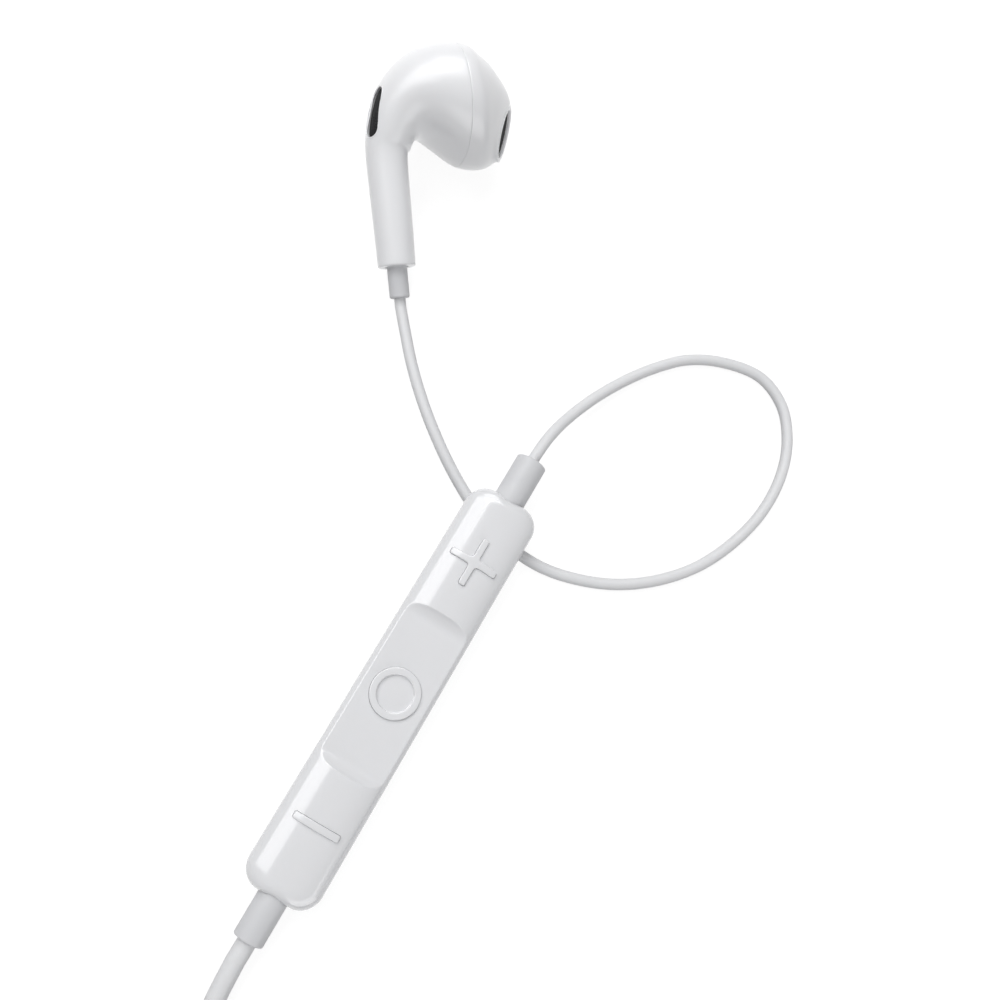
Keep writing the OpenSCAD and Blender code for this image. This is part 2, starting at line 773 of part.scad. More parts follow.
// A coil: [middle, mean radius, first angle, +1 or -1 for its sense, turns, diameter]
main_turns = 10.25;
left_turns = 6;
remote_turns = 2;
wound_lift = tie_t + lay_gap;
straight = 1.2;       // straight part before and after a coil, in diameters
climb_turns = 0.5;    // share of a turn in which a coil rises to its upper layer
function pitch_of(c) = c[5] + turn_gap;
function reach_of(c) = pitch_of(c) * c[4] / 4;
function coil_point(c, t) =
    let (
        half = c[4] / 2,
        r = c[1] + reach_of(c) - pitch_of(c) * (t < half ? t : c[4] - t),
        a = c[2] + c[3] * 360 * t,
        climb = min(max((t - half) / climb_turns + 0.5, 0), 1),
        z = wound_lift + c[5] / 2 + pitch_of(c) * climb * climb * (3 - 2 * climb)
    )
    [c[0][0] + r * cos(a), c[0][1] + r * sin(a), z];
function coil_way(c, t) =
    let (a = c[2] + c[3] * 360 * t) [-sin(a) * c[3], cos(a) * c[3], 0];
function coil_in(c) = coil_point(c, 0) - coil_way(c, 0) * c[5];
function coil_out(c) = coil_point(c, c[4]) + coil_way(c, c[4]) * c[5];
function before_coil(c) = coil_in(c) - coil_way(c, 0) * straight * c[5];
function after_coil(c) = coil_out(c) + coil_way(c, c[4]) * straight * c[5];
function coil_steps(c) = [for (i = [0 : round(c[4] * wound_rings)]) coil_point(c, i / wound_rings)];
module wound(c) {
    color(soft_white) tube(concat([coil_in(c)], coil_steps(c), [coil_out(c)]), c[5], wound_sides);
}
function least_gap(c) =
    let (p = coil_steps(c), n = len(p))
    min([
        for (i = [0 : n - 1 - wound_rings / 2])
            min([for (j = [i + wound_rings / 2 : n - 1]) norm(p[i] - p[j])])
    ]) - c[5];
tie_slack = 0.4;
module tie(c, angle) {
    inner = c[1] - reach_of(c) - c[5] / 2 - tie_slack;
    outer = c[1] + reach_of(c) + c[5] / 2 + tie_slack;
    height = wound_lift + c[5] + pitch_of(c) + lay_gap;
    color(soft_white)
        translate([c[0][0], c[0][1], 0])
            rotate(angle)
                difference() {
                    translate([inner - tie_t, -tie_w / 2, 0])
                        cube([outer - inner + 2 * tie_t, tie_w, height + tie_t]);
                    translate([inner, -tie_w, tie_t]) cube([outer - inner, 2 * tie_w, height - tie_t]);
                }
}

thick_mean_r = 12;
thin_mean_r = 8;
remote_coil_spec = [[-20.8, -60], thick_mean_r, 180, 1, remote_turns, thick_d];
left_coil_spec = [[-14, -87.3], thin_mean_r, 90, -1, left_turns, thin_d];
main_coil_spec = [[-14.3, -118.4], thick_mean_r, 180, 1, main_turns, thick_d];

splitter_at = [-32.6, -81];
splitter_mid_z = splitter_t / 2;
splitter_sleeve_l = 3;
relief_wall = 0.3;    // least wall of a sleeve round a thick cord
thick_entry_x = splitter_at[0] - 1.4;
thin_entry_x = splitter_at[0] + 1.6;
plug_at = [-1.4, main_coil_spec[0][1] - main_coil_spec[1] - reach_of(main_coil_spec)];
plug_z = grip_d / 2;

// The cords' ways, and the height at which a cord lies on the table
thin_z = thin_d / 2 + lay_gap / 2;
thin_way_out = 1;     // straight part where a thin cord leaves a sleeve
thick_way_out = 2.4;  // the same for the thicker cords
right_route = concat(
    [in_right_bud(down_stem(bud_sleeve_l)), in_right_bud(down_stem(bud_sleeve_l + thin_way_out))],
    [
        [-15.7, 30.3, thin_z], [-14.9, 26.6, thin_z], [-13.7, 22.6, thin_z],
        [-12.2, 18.7, thin_z], [-10.2, 14.5, thin_z], [-7.6, 10.3, thin_z],
        [-4.4, 6.7, thin_z], [-0.6, 4.1, thin_z], [3.7, 2.7, thin_z], [8.6, 2.2, thin_z],
        [13.7, 2.9, thin_z], [18.5, 4.7, thin_z], [22.8, 7.6, thin_z], [26.4, 11.2, thin_z],
        [29, 15.5, thin_z], [30.2, 20, thin_z], [29.8, 24.5, thin_z], [27.2, 28, thin_z],
        [22.6, 29.5, thin_z], [18, 29.5, thin_z], [13.7, 28.1, thin_z],
        [9.8, 26.1, 0.9], [6.1, 23.6, 1.5], [2.8, 20.8, 2.3], [0.4, 18.2, 3.3]
    ],
    [
        in_remote([remote_l + upper_sleeve_l + thin_way_out, 0, axis_z]),
        in_remote([remote_l + upper_sleeve_l, 0, axis_z])
    ]);
remote_route = concat(
    [
        in_remote([-lower_sleeve_l, 0, axis_z]),
        in_remote([-lower_sleeve_l - thick_way_out, 0, axis_z])
    ],
    [[-32.4, -38.9, 1.8], [-33.5, -42.6, 1.5], [-34, -47, 1.4], [-34, -51.2, 1.4]],
    [before_coil(remote_coil_spec), coil_in(remote_coil_spec)]);
splitter_route = concat(
    [coil_out(remote_coil_spec), after_coil(remote_coil_spec)],
    [[thick_entry_x, -69.4, 3.1], [thick_entry_x, -74, 2.1]],
    [[thick_entry_x, splitter_at[1] + thick_way_out, splitter_mid_z]],
    [[thick_entry_x, splitter_at[1], splitter_mid_z]]);
left_lead_route = concat(
    [[thin_entry_x, splitter_at[1], splitter_mid_z]],
    [[thin_entry_x, splitter_at[1] + thin_way_out, splitter_mid_z]],
    [[-30.2, -77.6, 1.6], [-27.6, -76.1, 1.3], [-23.6, -75.9, 1.1]],
    [before_coil(left_coil_spec), coil_in(left_coil_spec)]);
left_route = concat(
    [coil_out(left_coil_spec), after_coil(left_coil_spec)],
    [
        [-7.6, -75.8, 2.2], [-5.2, -73.8, 1.5], [-4.1, -70.8, 1], [-4, -67.6, 0.8],
        [-3.9, -64.5, thin_z], [-3.2, -61.7, thin_z], [-1.2, -59.5, thin_z]
    ],
    [in_left_bud(down_stem(bud_sleeve_l + thin_way_out)), in_left_bud(down_stem(bud_sleeve_l))]);
main_lead_route = concat(
    [[splitter_at[0], splitter_at[1] - splitter_l - splitter_sleeve_l, splitter_mid_z]],
    [[
        splitter_at[0], splitter_at[1] - splitter_l - splitter_sleeve_l - thick_way_out,
        splitter_mid_z
    ]],
    [[splitter_at[0], -105.4, 1.6], [splitter_at[0], -109.6, 1.4]],
    [before_coil(main_coil_spec), coil_in(main_coil_spec)]);
plug_route = concat(
    [coil_out(main_coil_spec), after_coil(main_coil_spec)],
    [[-7.6, plug_at[1], 3.5], [-5.6, plug_at[1], 2.9]],
    [[plug_at[0] - thick_way_out, plug_at[1], plug_z], [plug_at[0], plug_at[1], plug_z]]);

module cord(route, d) { color(soft_white) tube(route, d); }
module right_cord() { cord(right_route, thin_d); }
module remote_cord() { cord(remote_route, thick_d); }
module remote_coil() { wound(remote_coil_spec); }
module splitter_cord() { cord(splitter_route, thick_d); }
module left_lead() { cord(left_lead_route, thin_d); }
module left_coil() { wound(left_coil_spec); }
module left_cord() { cord(left_route, thin_d); }
module main_lead() { cord(main_lead_route, thick_d); }
module main_coil() { wound(main_coil_spec); }
module plug_cord() { cord(plug_route, thick_d); }
module coil_ties() {
    tie(remote_coil_spec, 0);
    tie(left_coil_spec, -90);
    tie(main_coil_spec, -90);
}

// ------------------------------------------------------------- splitter
splitter_round = 1.2;
module splitter_body() {
    color(gloss_white)
        translate([splitter_at[0], splitter_at[1] - splitter_l / 2, 0])
            hull() {
                translate([0, 0, splitter_round])
                    linear_extrude(splitter_t - 2 * splitter_round) splitter_plan(0);
                for (a = [30 : 30 : 90], side = [0, 1]) {
                    z = splitter_round * (1 - sin(a));
                    translate([0, 0, side == 0 ? z : splitter_t - z - thin])
                        linear_extrude(thin) splitter_plan(splitter_round * (1 - cos(a)));
                }
            }
}
module splitter_plan(inset) {
    corner = splitter_round * 1.6 - inset;
    x = splitter_w / 2 - inset - corner;
    y = splitter_l / 2 - inset - corner;
    square([2 * (x + corner), 2 * y], center = true);
    square([2 * x, 2 * (y + corner)], center = true);
    for (i = [-1, 1], j = [-1, 1]) translate([i * x, j * y]) circle(corner, $fn = facets);
}
module splitter_sleeve() {
    color(soft_white)
        translate([splitter_at[0], splitter_at[1] - splitter_l, splitter_mid_z])
            rotate([90, 0, 0])
                rotate_extrude($fn = 48)
                    polygon([
                        [0, 0], [thick_d / 2 + 2 * relief_wall, 0],
                        [thick_d / 2 + relief_wall, splitter_sleeve_l],
                        [0, splitter_sleeve_l]
                    ]);
}

// ------------------------------------------------------------- plug, along +X
module on_plug() {
    translate([plug_at[0], plug_at[1], plug_z]) rotate([0, 90, 0]) children();
}
pin_d = 3.5;          // a standard plug's contacts
pin_l = 14;
grip_start = relief_l;
pin_start = relief_l + grip_l;
pin_r = pin_d / 2;
core_r = 1.1;
tip_l = 3.2;
tip_soft = 0.1;
tip_neck_r = pin_r - 0.45;
ring_share = 0.27;    // of the barrel's and rings' length together
ring_l = (pin_l - tip_l - 3 * insulator_w) * ring_share;
barrel_l = pin_l - tip_l - 3 * insulator_w - 2 * ring_l;
first_ring_at = pin_start + pin_l - tip_l - insulator_w - ring_l;
second_ring_at = first_ring_at - insulator_w - ring_l;
grip_round = 0.8;
relief_ribs = 4;
rib_share = 0.6;      // of a rib's spacing that stands proud
rib_slope = 0.06;
rib_depth = 0.25;
module contact_ring(z, length) {
    color(steel)
        on_plug()
            translate([0, 0, z])
                difference() {
                    cylinder(h = length, r = pin_r, $fn = 64);
                    translate([0, 0, -nudge]) cylinder(h = length + 2 * nudge, r = core_r + seat, $fn = 64);
                }
}
module plug_barrel() { contact_ring(pin_start, barrel_l); }
module plug_second_ring() { contact_ring(second_ring_at, ring_l); }
module plug_first_ring() { contact_ring(first_ring_at, ring_l); }
module plug_tip() {
    base = pin_start + pin_l - tip_l;
    color(steel)
        on_plug()
            rotate_extrude($fn = 64)
                polygon([
                    [0, base], [pin_r - tip_soft, base], [tip_neck_r, base + tip_l * 0.22],
                    [tip_neck_r + tip_soft, base + tip_l * 0.34], [pin_r, base + tip_l * 0.53],
                    [pin_r - tip_soft, base + tip_l * 0.66], [pin_r * 0.45, base + tip_l * 0.95],
                    [pin_r * 0.25, base + tip_l], [0, base + tip_l]
                ]);
}
module plug_insulator() {
    color(insulator_white)
        on_plug() {
            translate([0, 0, pin_start]) cylinder(h = pin_l - tip_l, r = core_r, $fn = 64);
            for (z = [first_ring_at + ring_l, first_ring_at - insulator_w, second_ring_at - insulator_w])
                translate([0, 0, z]) cylinder(h = insulator_w, r = pin_r, $fn = 64);
        }
}
module plug_grip() {
    grip_r = grip_d / 2;
    color(gloss_white)
        on_plug()
            rotate_extrude($fn = 64)
                polygon(concat(
                    [[0, grip_start]],
                    [for (a = [0 : 15 : 90])
                        [grip_r - grip_round * (1 - sin(a)), grip_start + grip_round * (1 - cos(a))]],
                    [for (a = [90 : -15 : 0])
                        [grip_r - grip_round * (1 - sin(a)), pin_start - grip_round * (1 - cos(a))]],
                    [[0, pin_start]]
                ));
}
module plug_relief() {
    root_r = grip_d / 2 - grip_round;
    end_r = thick_d / 2 + relief_wall;
    step = relief_l / relief_ribs;
    color(soft_white)
        on_plug()
            rotate_extrude($fn = 64)
                polygon(concat(
                    [[0, 0]],
                    [for (k = [0 : relief_ribs - 1])
                        let (r = end_r + (root_r - end_r) * k / (relief_ribs - 1))
                        each [
                            [r, k * step], [r, (k + rib_share) * step],
                            [r - rib_depth, (k + rib_share + rib_slope) * step],
                            [r - rib_depth, (k + 1 - rib_slope) * step]
                        ]],
                    [[root_r, relief_l], [0, relief_l]]
                ));
}

// ------------------------------------------------------------- the two earbuds
module right_rear_housing() { right_bud() housing_shell(); }
module right_front_cap() { right_bud() cap_shell(); }
module right_port_mesh() { right_bud() port_mesh(); }
module right_vent_mesh() { right_bud() vent_mesh(); }
module right_driver_frame() { right_bud() driver_frame(); }
module right_driver_yoke() { right_bud() driver_yoke(); }
module right_driver_magnet() { right_bud() driver_magnet(); }
module right_driver_top_plate() { right_bud() driver_top_plate(); }
module right_voice_coil() { right_bud() voice_coil(); }
module right_diaphragm() { right_bud() diaphragm(); }
module right_driver_cover() { right_bud() driver_cover(); }
module right_sleeve() { right_bud() bud_sleeve(); }
module left_rear_housing() { left_bud() housing_shell(); }
module left_front_cap() { left_bud() cap_shell(); }
module left_port_mesh() { left_bud() port_mesh(); }
module left_vent_mesh() { left_bud() vent_mesh(); }
module left_driver_frame() { left_bud() driver_frame(); }
module left_driver_yoke() { left_bud() driver_yoke(); }
module left_driver_magnet() { left_bud() driver_magnet(); }
module left_driver_top_plate() { left_bud() driver_top_plate(); }
module left_voice_coil() { left_bud() voice_coil(); }
module left_diaphragm() { left_bud() diaphragm(); }
module left_driver_cover() { left_bud() driver_cover(); }
module left_sleeve() { left_bud() bud_sleeve(); }

echo(least_gaps = [for (c = [remote_coil_spec, left_coil_spec, main_coil_spec]) least_gap(c)]);

right_rear_housing();
right_front_cap();
right_port_mesh();
right_vent_mesh();
right_driver_frame();
right_driver_yoke();
right_driver_magnet();
right_driver_top_plate();
right_voice_coil();
right_diaphragm();
right_driver_cover();
right_sleeve();
left_rear_housing();
left_front_cap();
left_port_mesh();
left_vent_mesh();
left_driver_frame();
left_driver_yoke();
left_driver_magnet();
left_driver_top_plate();
left_voice_coil();
left_diaphragm();
left_driver_cover();
left_sleeve();
remote_back_shell();
remote_front_cover();
plus_key();
play_key();
minus_key();
plus_plunger();
play_plunger();
minus_plunger();
key_switches();
circuit_board();
control_chip();
microphone();
upper_sleeve();
lower_sleeve();
splitter_body();
splitter_sleeve();
plug_tip();
plug_first_ring();
plug_second_ring();
plug_barrel();
plug_insulator();
plug_grip();
plug_relief();
right_cord();
remote_cord();
remote_coil();
splitter_cord();
left_lead();
left_coil();
left_cord();
main_lead();
main_coil();
plug_cord();
coil_ties();
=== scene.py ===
"""Wired earphones laid out flat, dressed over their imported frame."""
import json
import math

import bmesh
import bpy
import numpy as np
from mathutils import Matrix, Vector
from mathutils.bvhtree import BVHTree
from mathutils.geometry import delaunay_2d_cdt


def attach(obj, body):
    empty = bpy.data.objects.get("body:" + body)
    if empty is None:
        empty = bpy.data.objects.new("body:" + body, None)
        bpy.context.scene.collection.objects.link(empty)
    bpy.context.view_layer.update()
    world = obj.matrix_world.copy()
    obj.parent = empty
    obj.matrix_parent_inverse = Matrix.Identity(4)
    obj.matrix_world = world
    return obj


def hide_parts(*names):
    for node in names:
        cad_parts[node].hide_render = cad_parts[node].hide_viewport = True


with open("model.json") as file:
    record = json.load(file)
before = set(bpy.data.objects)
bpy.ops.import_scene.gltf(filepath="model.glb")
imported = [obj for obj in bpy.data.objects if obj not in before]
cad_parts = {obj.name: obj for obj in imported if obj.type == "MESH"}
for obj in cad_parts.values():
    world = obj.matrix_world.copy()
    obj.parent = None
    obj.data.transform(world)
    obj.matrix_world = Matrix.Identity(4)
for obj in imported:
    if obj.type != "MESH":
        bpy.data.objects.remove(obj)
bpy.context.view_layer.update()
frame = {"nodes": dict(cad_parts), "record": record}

bl_info = {
    "name": "Wired Earphones",
    "version": (1, 0, 0),
    "blender": (4, 5, 0),
    "location": "View3D > Sidebar > Earphones",
    "description": "Builds the earbuds, remote, splitter, plug and cords over their frame",
    "category": "Object",
}

MM = 0.001
CASE = "cord_and_cases"
SIDES = ("right", "left")


# ---------------------------------------------------------------- settings
def length(name, default, about, low=0.0):
    """A size in metres, shown as a length."""
    return bpy.props.FloatProperty(
        name=name, description=about, default=default, min=low, precision=5,
        subtype="DISTANCE", unit="LENGTH",
    )


def colour(name, default, about):
    return bpy.props.FloatVectorProperty(
        name=name, description=about, default=default, size=3, min=0, max=1, subtype="COLOR",
    )


def angle(name, degrees, about):
    return bpy.props.FloatProperty(
        name=name, description=about, default=math.radians(degrees), subtype="ANGLE",
    )


class EarbudSettings(bpy.types.PropertyGroup):
    head_d: length("Head", 14 * MM, "Diameter of the head at its seam")
    fullness: bpy.props.FloatProperty(
        name="Fullness", description="Depth of the head against its height", default=1.05
    )
    stem_l: length("Stem length", 11.8 * MM, "Straight stem below the neck")
    stem_d: length("Stem", 4.3 * MM, "Diameter of the stem at its foot")
    stem_lean: angle("Lean", 5.6, "Lean of the stem")
    wall: length("Wall", 0.8 * MM, "Wall of the shells")
    port_l: length("Port length", 6.4 * MM, "Length of the sound port")
    port_w: length("Port width", 4.1 * MM, "Width of the sound port")
    port_depth: length("Port depth", 0.9 * MM, "Depth of the port's tunnel")
    port_cant: angle("Cant", 28, "Cant of the port")
    vent_l: length("Vent length", 5.8 * MM, "Length of the vent slot")
    vent_w: length("Vent width", 2.4 * MM, "Width of the vent slot")
    mesh_recess: length("Mesh recess", 0.3 * MM, "Depth of the meshes below the shell")
    wire_pitch: length("Wire pitch", 0.17 * MM, "Spacing of the wires in the meshes")


class RemoteSettings(bpy.types.PropertyGroup):
    length: length("Length", 46 * MM, "Length of the remote")
    width: length("Width", 8.2 * MM, "Width of the remote")
    thickness: length("Thickness", 4.6 * MM, "Thickness at the crown")
    corner: length("Corner", 2.3 * MM, "Radius of the corners seen from the front")
    dish_l: length("Dish length", 18.5 * MM, "Length of the finger dish")
    dish_depth: length("Dish depth", 0.85 * MM, "Depth of the finger dish")
    dish_ramp: length("Dish ramp", 1.9 * MM, "Radius of the ramps at the dish's ends")
    key_rise: length("Key rise", 0.3 * MM, "Height of the keys above the surface round them")


class CordSettings(bpy.types.PropertyGroup):
    thin_d: length("Thin cord", 1.3 * MM, "Diameter of the cords to the earbuds")
    thick_d: length("Thick cord", 2 * MM, "Diameter of the cords below the remote and splitter")
    tie_w: length("Tie width", 3 * MM, "Width of the ties round the coils")
    turn_gap: length("Turn gap", 0.45 * MM, "Gap between the turns of a coil")


class FinishSettings(bpy.types.PropertyGroup):
    shell: colour("Shell", (0.80, 0.805, 0.825), "Glossy moulded shells and keys")
    bud: colour("Earbud", (0.87, 0.875, 0.895), "Satin shells of the earbuds")
    cord: colour("Cord", (0.80, 0.805, 0.82), "Soft jacket of the cords")
    sleeve: colour("Sleeve", (0.70, 0.705, 0.725), "Soft sleeves at the cords' ends")
    mesh: colour("Mesh", (0.02, 0.02, 0.022), "Woven wire of the port and vent")
    steel: colour("Steel", (0.62, 0.63, 0.65), "Pressed steel of the drivers")
    floor: colour("Floor", (0.25, 0.25, 0.25), "Table under the earphones")


class StageSettings(bpy.types.PropertyGroup):
    reach: length("Camera distance", 110 * MM, "Distance from the camera to what it looks at")
    tilt: angle("Tilt", 17, "Camera's angle from straight down")
    heading: angle("Heading", 38, "Direction the camera leans towards, from +Y to +X")
    lens: bpy.props.FloatProperty(name="Lens", description="Focal length in mm", default=36)


# ---------------------------------------------------------------- mesh helpers
def unit(v):
    return v / np.linalg.norm(v)


def smooth_step(t):
    t = np.clip(t, 0, 1)
    return t * t * (3 - 2 * t)


def linked(name, data):
    """An object of some data, linked to the scene."""
    made = bpy.data.objects.new(name, data)
    bpy.context.scene.collection.objects.link(made)
    return made


def solid(name, points, faces):
    """A mesh object at the origin, its faces pointing outwards, without a finish."""
    mesh = bpy.data.meshes.new(name)
    mesh.from_pydata([tuple(map(float, p)) for p in points], [], faces)
    bm = bmesh.new()
    bm.from_mesh(mesh)
    bmesh.ops.remove_doubles(bm, verts=bm.verts, dist=1e-7)
    bmesh.ops.recalc_face_normals(bm, faces=bm.faces)
    bm.to_mesh(mesh)
    bm.free()
    return linked(name, mesh)


def dress(piece, look, sharp, *nodes, body=CASE):
    """Finishes a piece, smooth up to edges of sharp degrees, for the nodes it stands in for."""
    mesh = piece.data
    mesh.shade_smooth()
    if sharp:
        mesh.set_sharp_from_angle(angle=math.radians(sharp))
    mesh.materials.clear()
    mesh.materials.append(finish(look))
    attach(piece, body)
    if nodes:
        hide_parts(*nodes)
    return piece


def laid(name, form, lay, look, sharp, *nodes, body=CASE):
    """A finished piece of a form's points and faces, moved to where it lies."""
    points, faces = form
    return dress(solid(name, placed(points, lay), faces), look, sharp, *nodes, body=body)


def skin(rings, looped=False, capped=True):
    """Points and faces of rings of equal count joined in order."""
    rings = [np.asarray(r, float) for r in rings]
    sides, count = len(rings[0]), len(rings)
    faces = []
    for i in range(count if looped else count - 1):
        j = (i + 1) % count
        for k in range(sides):
            m = (k + 1) % sides
            faces.append((i * sides + k, i * sides + m, j * sides + m, j * sides + k))
    if capped and not looped:
        faces.append(tuple(range(sides)))
        faces.append(tuple((count - 1) * sides + k for k in range(sides)))
    return np.concatenate(rings), faces


def lathe(profile, sides=96):
    """Points and faces of a profile of (radius, height) turned round z."""
    points, faces, rows = [], [], []
    for radius, height in profile:
        if radius < 1e-9:
            rows.append([len(points)])
            points.append((0, 0, height))
            continue
        rows.append(list(range(len(points), len(points) + sides)))
        for k in range(sides):
            a = 2 * math.pi * k / sides
            points.append((radius * math.cos(a), radius * math.sin(a), height))
    for low, high in zip(rows, rows[1:]):
        for k in range(sides):
            m = (k + 1) % sides
            if len(low) == 1 and len(high) > 1:
                faces.append((low[0], high[m], high[k]))
            elif len(high) == 1 and len(low) > 1:
                faces.append((low[k], low[m], high[0]))
            elif len(low) > 1:
                faces.append((low[k], low[m], high[m], high[k]))
    return np.array(points), faces


def arc(centre, radius, start, end, steps=6):
    """Points of an arc in degrees."""
    x, y = centre
    turns = [math.radians(start + (end - start) * i / steps) for i in range(steps + 1)]
    return [(x + radius * math.cos(a), y + radius * math.sin(a)) for a in turns]


def low_edge(r, z, soft, steps=6):
    """The rounded edge between a bottom at height z and a side at radius r."""
    return arc((r - soft, z + soft), soft, -90, 0, steps)


def top_edge(r, z, soft, steps=6):
    """The rounded edge between a side at radius r and a top at height z."""
    return arc((r - soft, z - soft), soft, 0, 90, steps)


def quarter(radius, count):
    """Steps of a quarter round, as its (inset, drop) from a side to a flat top."""
    return [
        (radius * (1 - math.cos(a)), radius * (1 - math.sin(a)))
        for a in np.linspace(0, math.pi / 2, count)
    ]


def filleted_rod(r, low, high, soft, steps=5):
    """Profile of a rod with rounded ends, closed on its axis."""
    edges = low_edge(r, low, soft, steps) + top_edge(r, high, soft, steps)
    return [(0, low)] + edges + [(0, high)]


def placed(points, matrix):
    """The points moved by a matrix."""
    points = np.asarray(points, float)
    m = np.array(matrix)
    return points @ m[:3, :3].T + m[:3, 3]


def turned(degrees, axis):
    """A turn about an axis."""
    return Matrix.Rotation(math.radians(degrees), 4, axis)


def catmull(points, per_span):
    """A smooth way through points, per_span steps to each span."""
    p = np.asarray(points, float)
    p = np.vstack([2 * p[0] - p[1], p, 2 * p[-1] - p[-2]])
    out = []
    for i in range(1, len(p) - 2):
        for t in np.arange(per_span) / per_span:
            out.append(spline(p[i - 1], p[i], p[i + 1], p[i + 2], t))
    out.append(p[-2])
    return np.array(out)


def spline(p, q, r, s, t):
    """The point a share t of the way from q to r, on a curve through p, q, r and s."""
    return 0.5 * (
        2 * q + (r - p) * t + (2 * p - 5 * q + 4 * r - s) * t * t
        + (3 * q - p - 3 * r + s) * t * t * t
    )


def cut_away(piece, cutter):
    """Cuts the cutter out of the piece for good."""
    mod = piece.modifiers.new("cut", "BOOLEAN")
    mod.operation = "DIFFERENCE"
    mod.solver = "EXACT"
    mod.object = cutter
    settle(piece)
    bpy.data.objects.remove(cutter)


def settle(piece):
    """Turns a piece's modifiers into plain mesh."""
    bpy.context.view_layer.update()
    depsgraph = bpy.context.evaluated_depsgraph_get()
    mesh = bpy.data.meshes.new_from_object(piece.evaluated_get(depsgraph))
    old = piece.data
    piece.modifiers.clear()
    piece.data = mesh
    mesh.name = piece.name
    bpy.data.meshes.remove(old)


def prism(outline, low, high):
    """Points and faces of an outline raised from low to high."""
    return skin([[(x, y, z) for x, y in outline] for z in (low, high)])


def slot_outline(length_, width, steps=16):
    """A straight slot with round ends, along x."""
    r, x = width / 2, (length_ - width) / 2
    return arc((x, 0), r, -90, 90, steps) + arc((-x, 0), r, 90, 270, steps)


# ---------------------------------------------------------------- materials
def shader(name, base, roughness, **sockets):
    """A material with a Principled surface, its constants set on the shader itself."""
    material = bpy.data.materials.new(name)
    material.use_nodes = True
    surface = material.node_tree.nodes["Principled BSDF"]
    surface.inputs["Base Color"].default_value = (*base, 1)
    surface.inputs["Roughness"].default_value = roughness
    for socket, value in sockets.items():
        surface.inputs[socket.replace("_", " ")].default_value = value
    return material, material.node_tree, surface


def grain(tree, scale, detail):
    """A cloudy 0 to 1 pattern fixed to the piece, with scale clouds to the metre."""
    place = tree.nodes.new("ShaderNodeTexCoord")
    pattern = tree.nodes.new("ShaderNodeTexNoise")
    pattern.inputs["Scale"].default_value = scale
    pattern.inputs["Detail"].default_value = detail
    tree.links.new(place.outputs["Object"], pattern.inputs["Vector"])
    return pattern.outputs["Fac"]


def spread(tree, source, low, high, target):
    """Maps a 0 to 1 pattern to a range and feeds a socket."""
    span = tree.nodes.new("ShaderNodeMapRange")
    span.inputs["To Min"].default_value = low
    span.inputs["To Max"].default_value = high
    tree.links.new(source, span.inputs["Value"])
    tree.links.new(span.outputs["Result"], target)


def bump(tree, surface, source, depth, strength):
    """Raises the surface by a 0 to 1 pattern, depth metres high."""
    node = tree.nodes.new("ShaderNodeBump")
    node.inputs["Distance"].default_value = depth
    node.inputs["Strength"].default_value = strength
    tree.links.new(source, node.inputs["Height"])
    tree.links.new(node.outputs["Normal"], surface.inputs["Normal"])


def tinted(tree, surface, source, base, other):
    """Varies the base colour a little between two tones."""
    mix = tree.nodes.new("ShaderNodeMix")
    mix.data_type = "RGBA"
    mix.inputs["A"].default_value = (*base, 1)
    mix.inputs["B"].default_value = (*other, 1)
    tree.links.new(source, mix.inputs["Factor"])
    tree.links.new(mix.outputs["Result"], surface.inputs["Base Color"])


def textured(name, base, rough, cloud, span=None, tones=None, fine=None, relief=None, **sockets):
    """A surface whose roughness spans a range and whose colour goes between two tones by a
    cloudy pattern, with a relief of (depth, strength) by a finer one."""
    material, tree, surface = shader(name, base, rough, **sockets)
    pattern = grain(tree, *cloud)
    if span:
        spread(tree, pattern, *span, surface.inputs["Roughness"])
    if tones:
        tinted(tree, surface, pattern, *tones)
    if relief:
        bump(tree, surface, grain(tree, *fine) if fine else pattern, *relief)
    return material


def dimmed(base, share):
    """A colour and the same colour, darker."""
    return base, [c * share for c in base]


def shell_gloss(name, base, rough=0.2, coat_rough=0.1):
    """Polished moulded plastic: a hard clear surface over a faintly uneven white body."""
    return textured(
        name, base, rough, (260, 3), (rough - 0.03, rough + 0.04), dimmed(base, 0.985), (900, 1),
        (0.000004, 0.5), IOR=1.56, Coat_Weight=1.0, Coat_Roughness=coat_rough,
        Subsurface_Weight=0.12, Subsurface_Scale=0.0006, Subsurface_Radius=(1.0, 0.95, 0.9),
    )


def cord_skin(name, base):
    """Soft cord sleeve: satin, with a fine drawn grain."""
    return textured(
        name, base, 0.42, (700, 3), (0.36, 0.5), dimmed(base, 0.97), (6000, 2), (0.000008, 0.6),
        IOR=1.47, Sheen_Weight=0.08, Sheen_Roughness=0.4, Subsurface_Weight=0.15,
        Subsurface_Scale=0.0005, Subsurface_Radius=(1.0, 0.95, 0.9),
    )


def woven_wire(name, base):
    """Dark coated wire."""
    return textured(name, base, 0.6, (9000, 1), (0.5, 0.7), Specular_IOR_Level=0.3)


def felt_black(name, base):
    """Dark damping cloth behind a mesh."""
    tones = (0.02, 0.02, 0.022), (0.05, 0.05, 0.055)
    return textured(
        name, base, 0.85, (12000, 4), tones=tones, relief=(0.00002, 1.0), Sheen_Weight=0.2)


def brushed(name, base, low, high):
    """Metal with fine turned marks, its roughness from low to high."""
    return textured(
        name, base, low, (4000, 2), (low, high), relief=(0.000002, 0.4), Metallic=1.0)


def speckled(name, base, roughness, scale):
    """A dull moulded or coated surface with a fine speckle."""
    return textured(
        name, base, roughness, (scale, 4), tones=dimmed(base, 0.85), relief=(0.000006, 0.5))


def stage_white(name, base, lift):
    """Matt table that keeps shadows and reads as white to the camera."""
    material, tree, surface = shader(name, base, 0.9)
    surface.inputs["Specular IOR Level"].default_value = 0.1
    surface.inputs["Emission Color"].default_value = (1, 1, 1, 1)
    spread(tree, seen_rays(tree), 0, lift, surface.inputs["Emission Strength"])
    return material


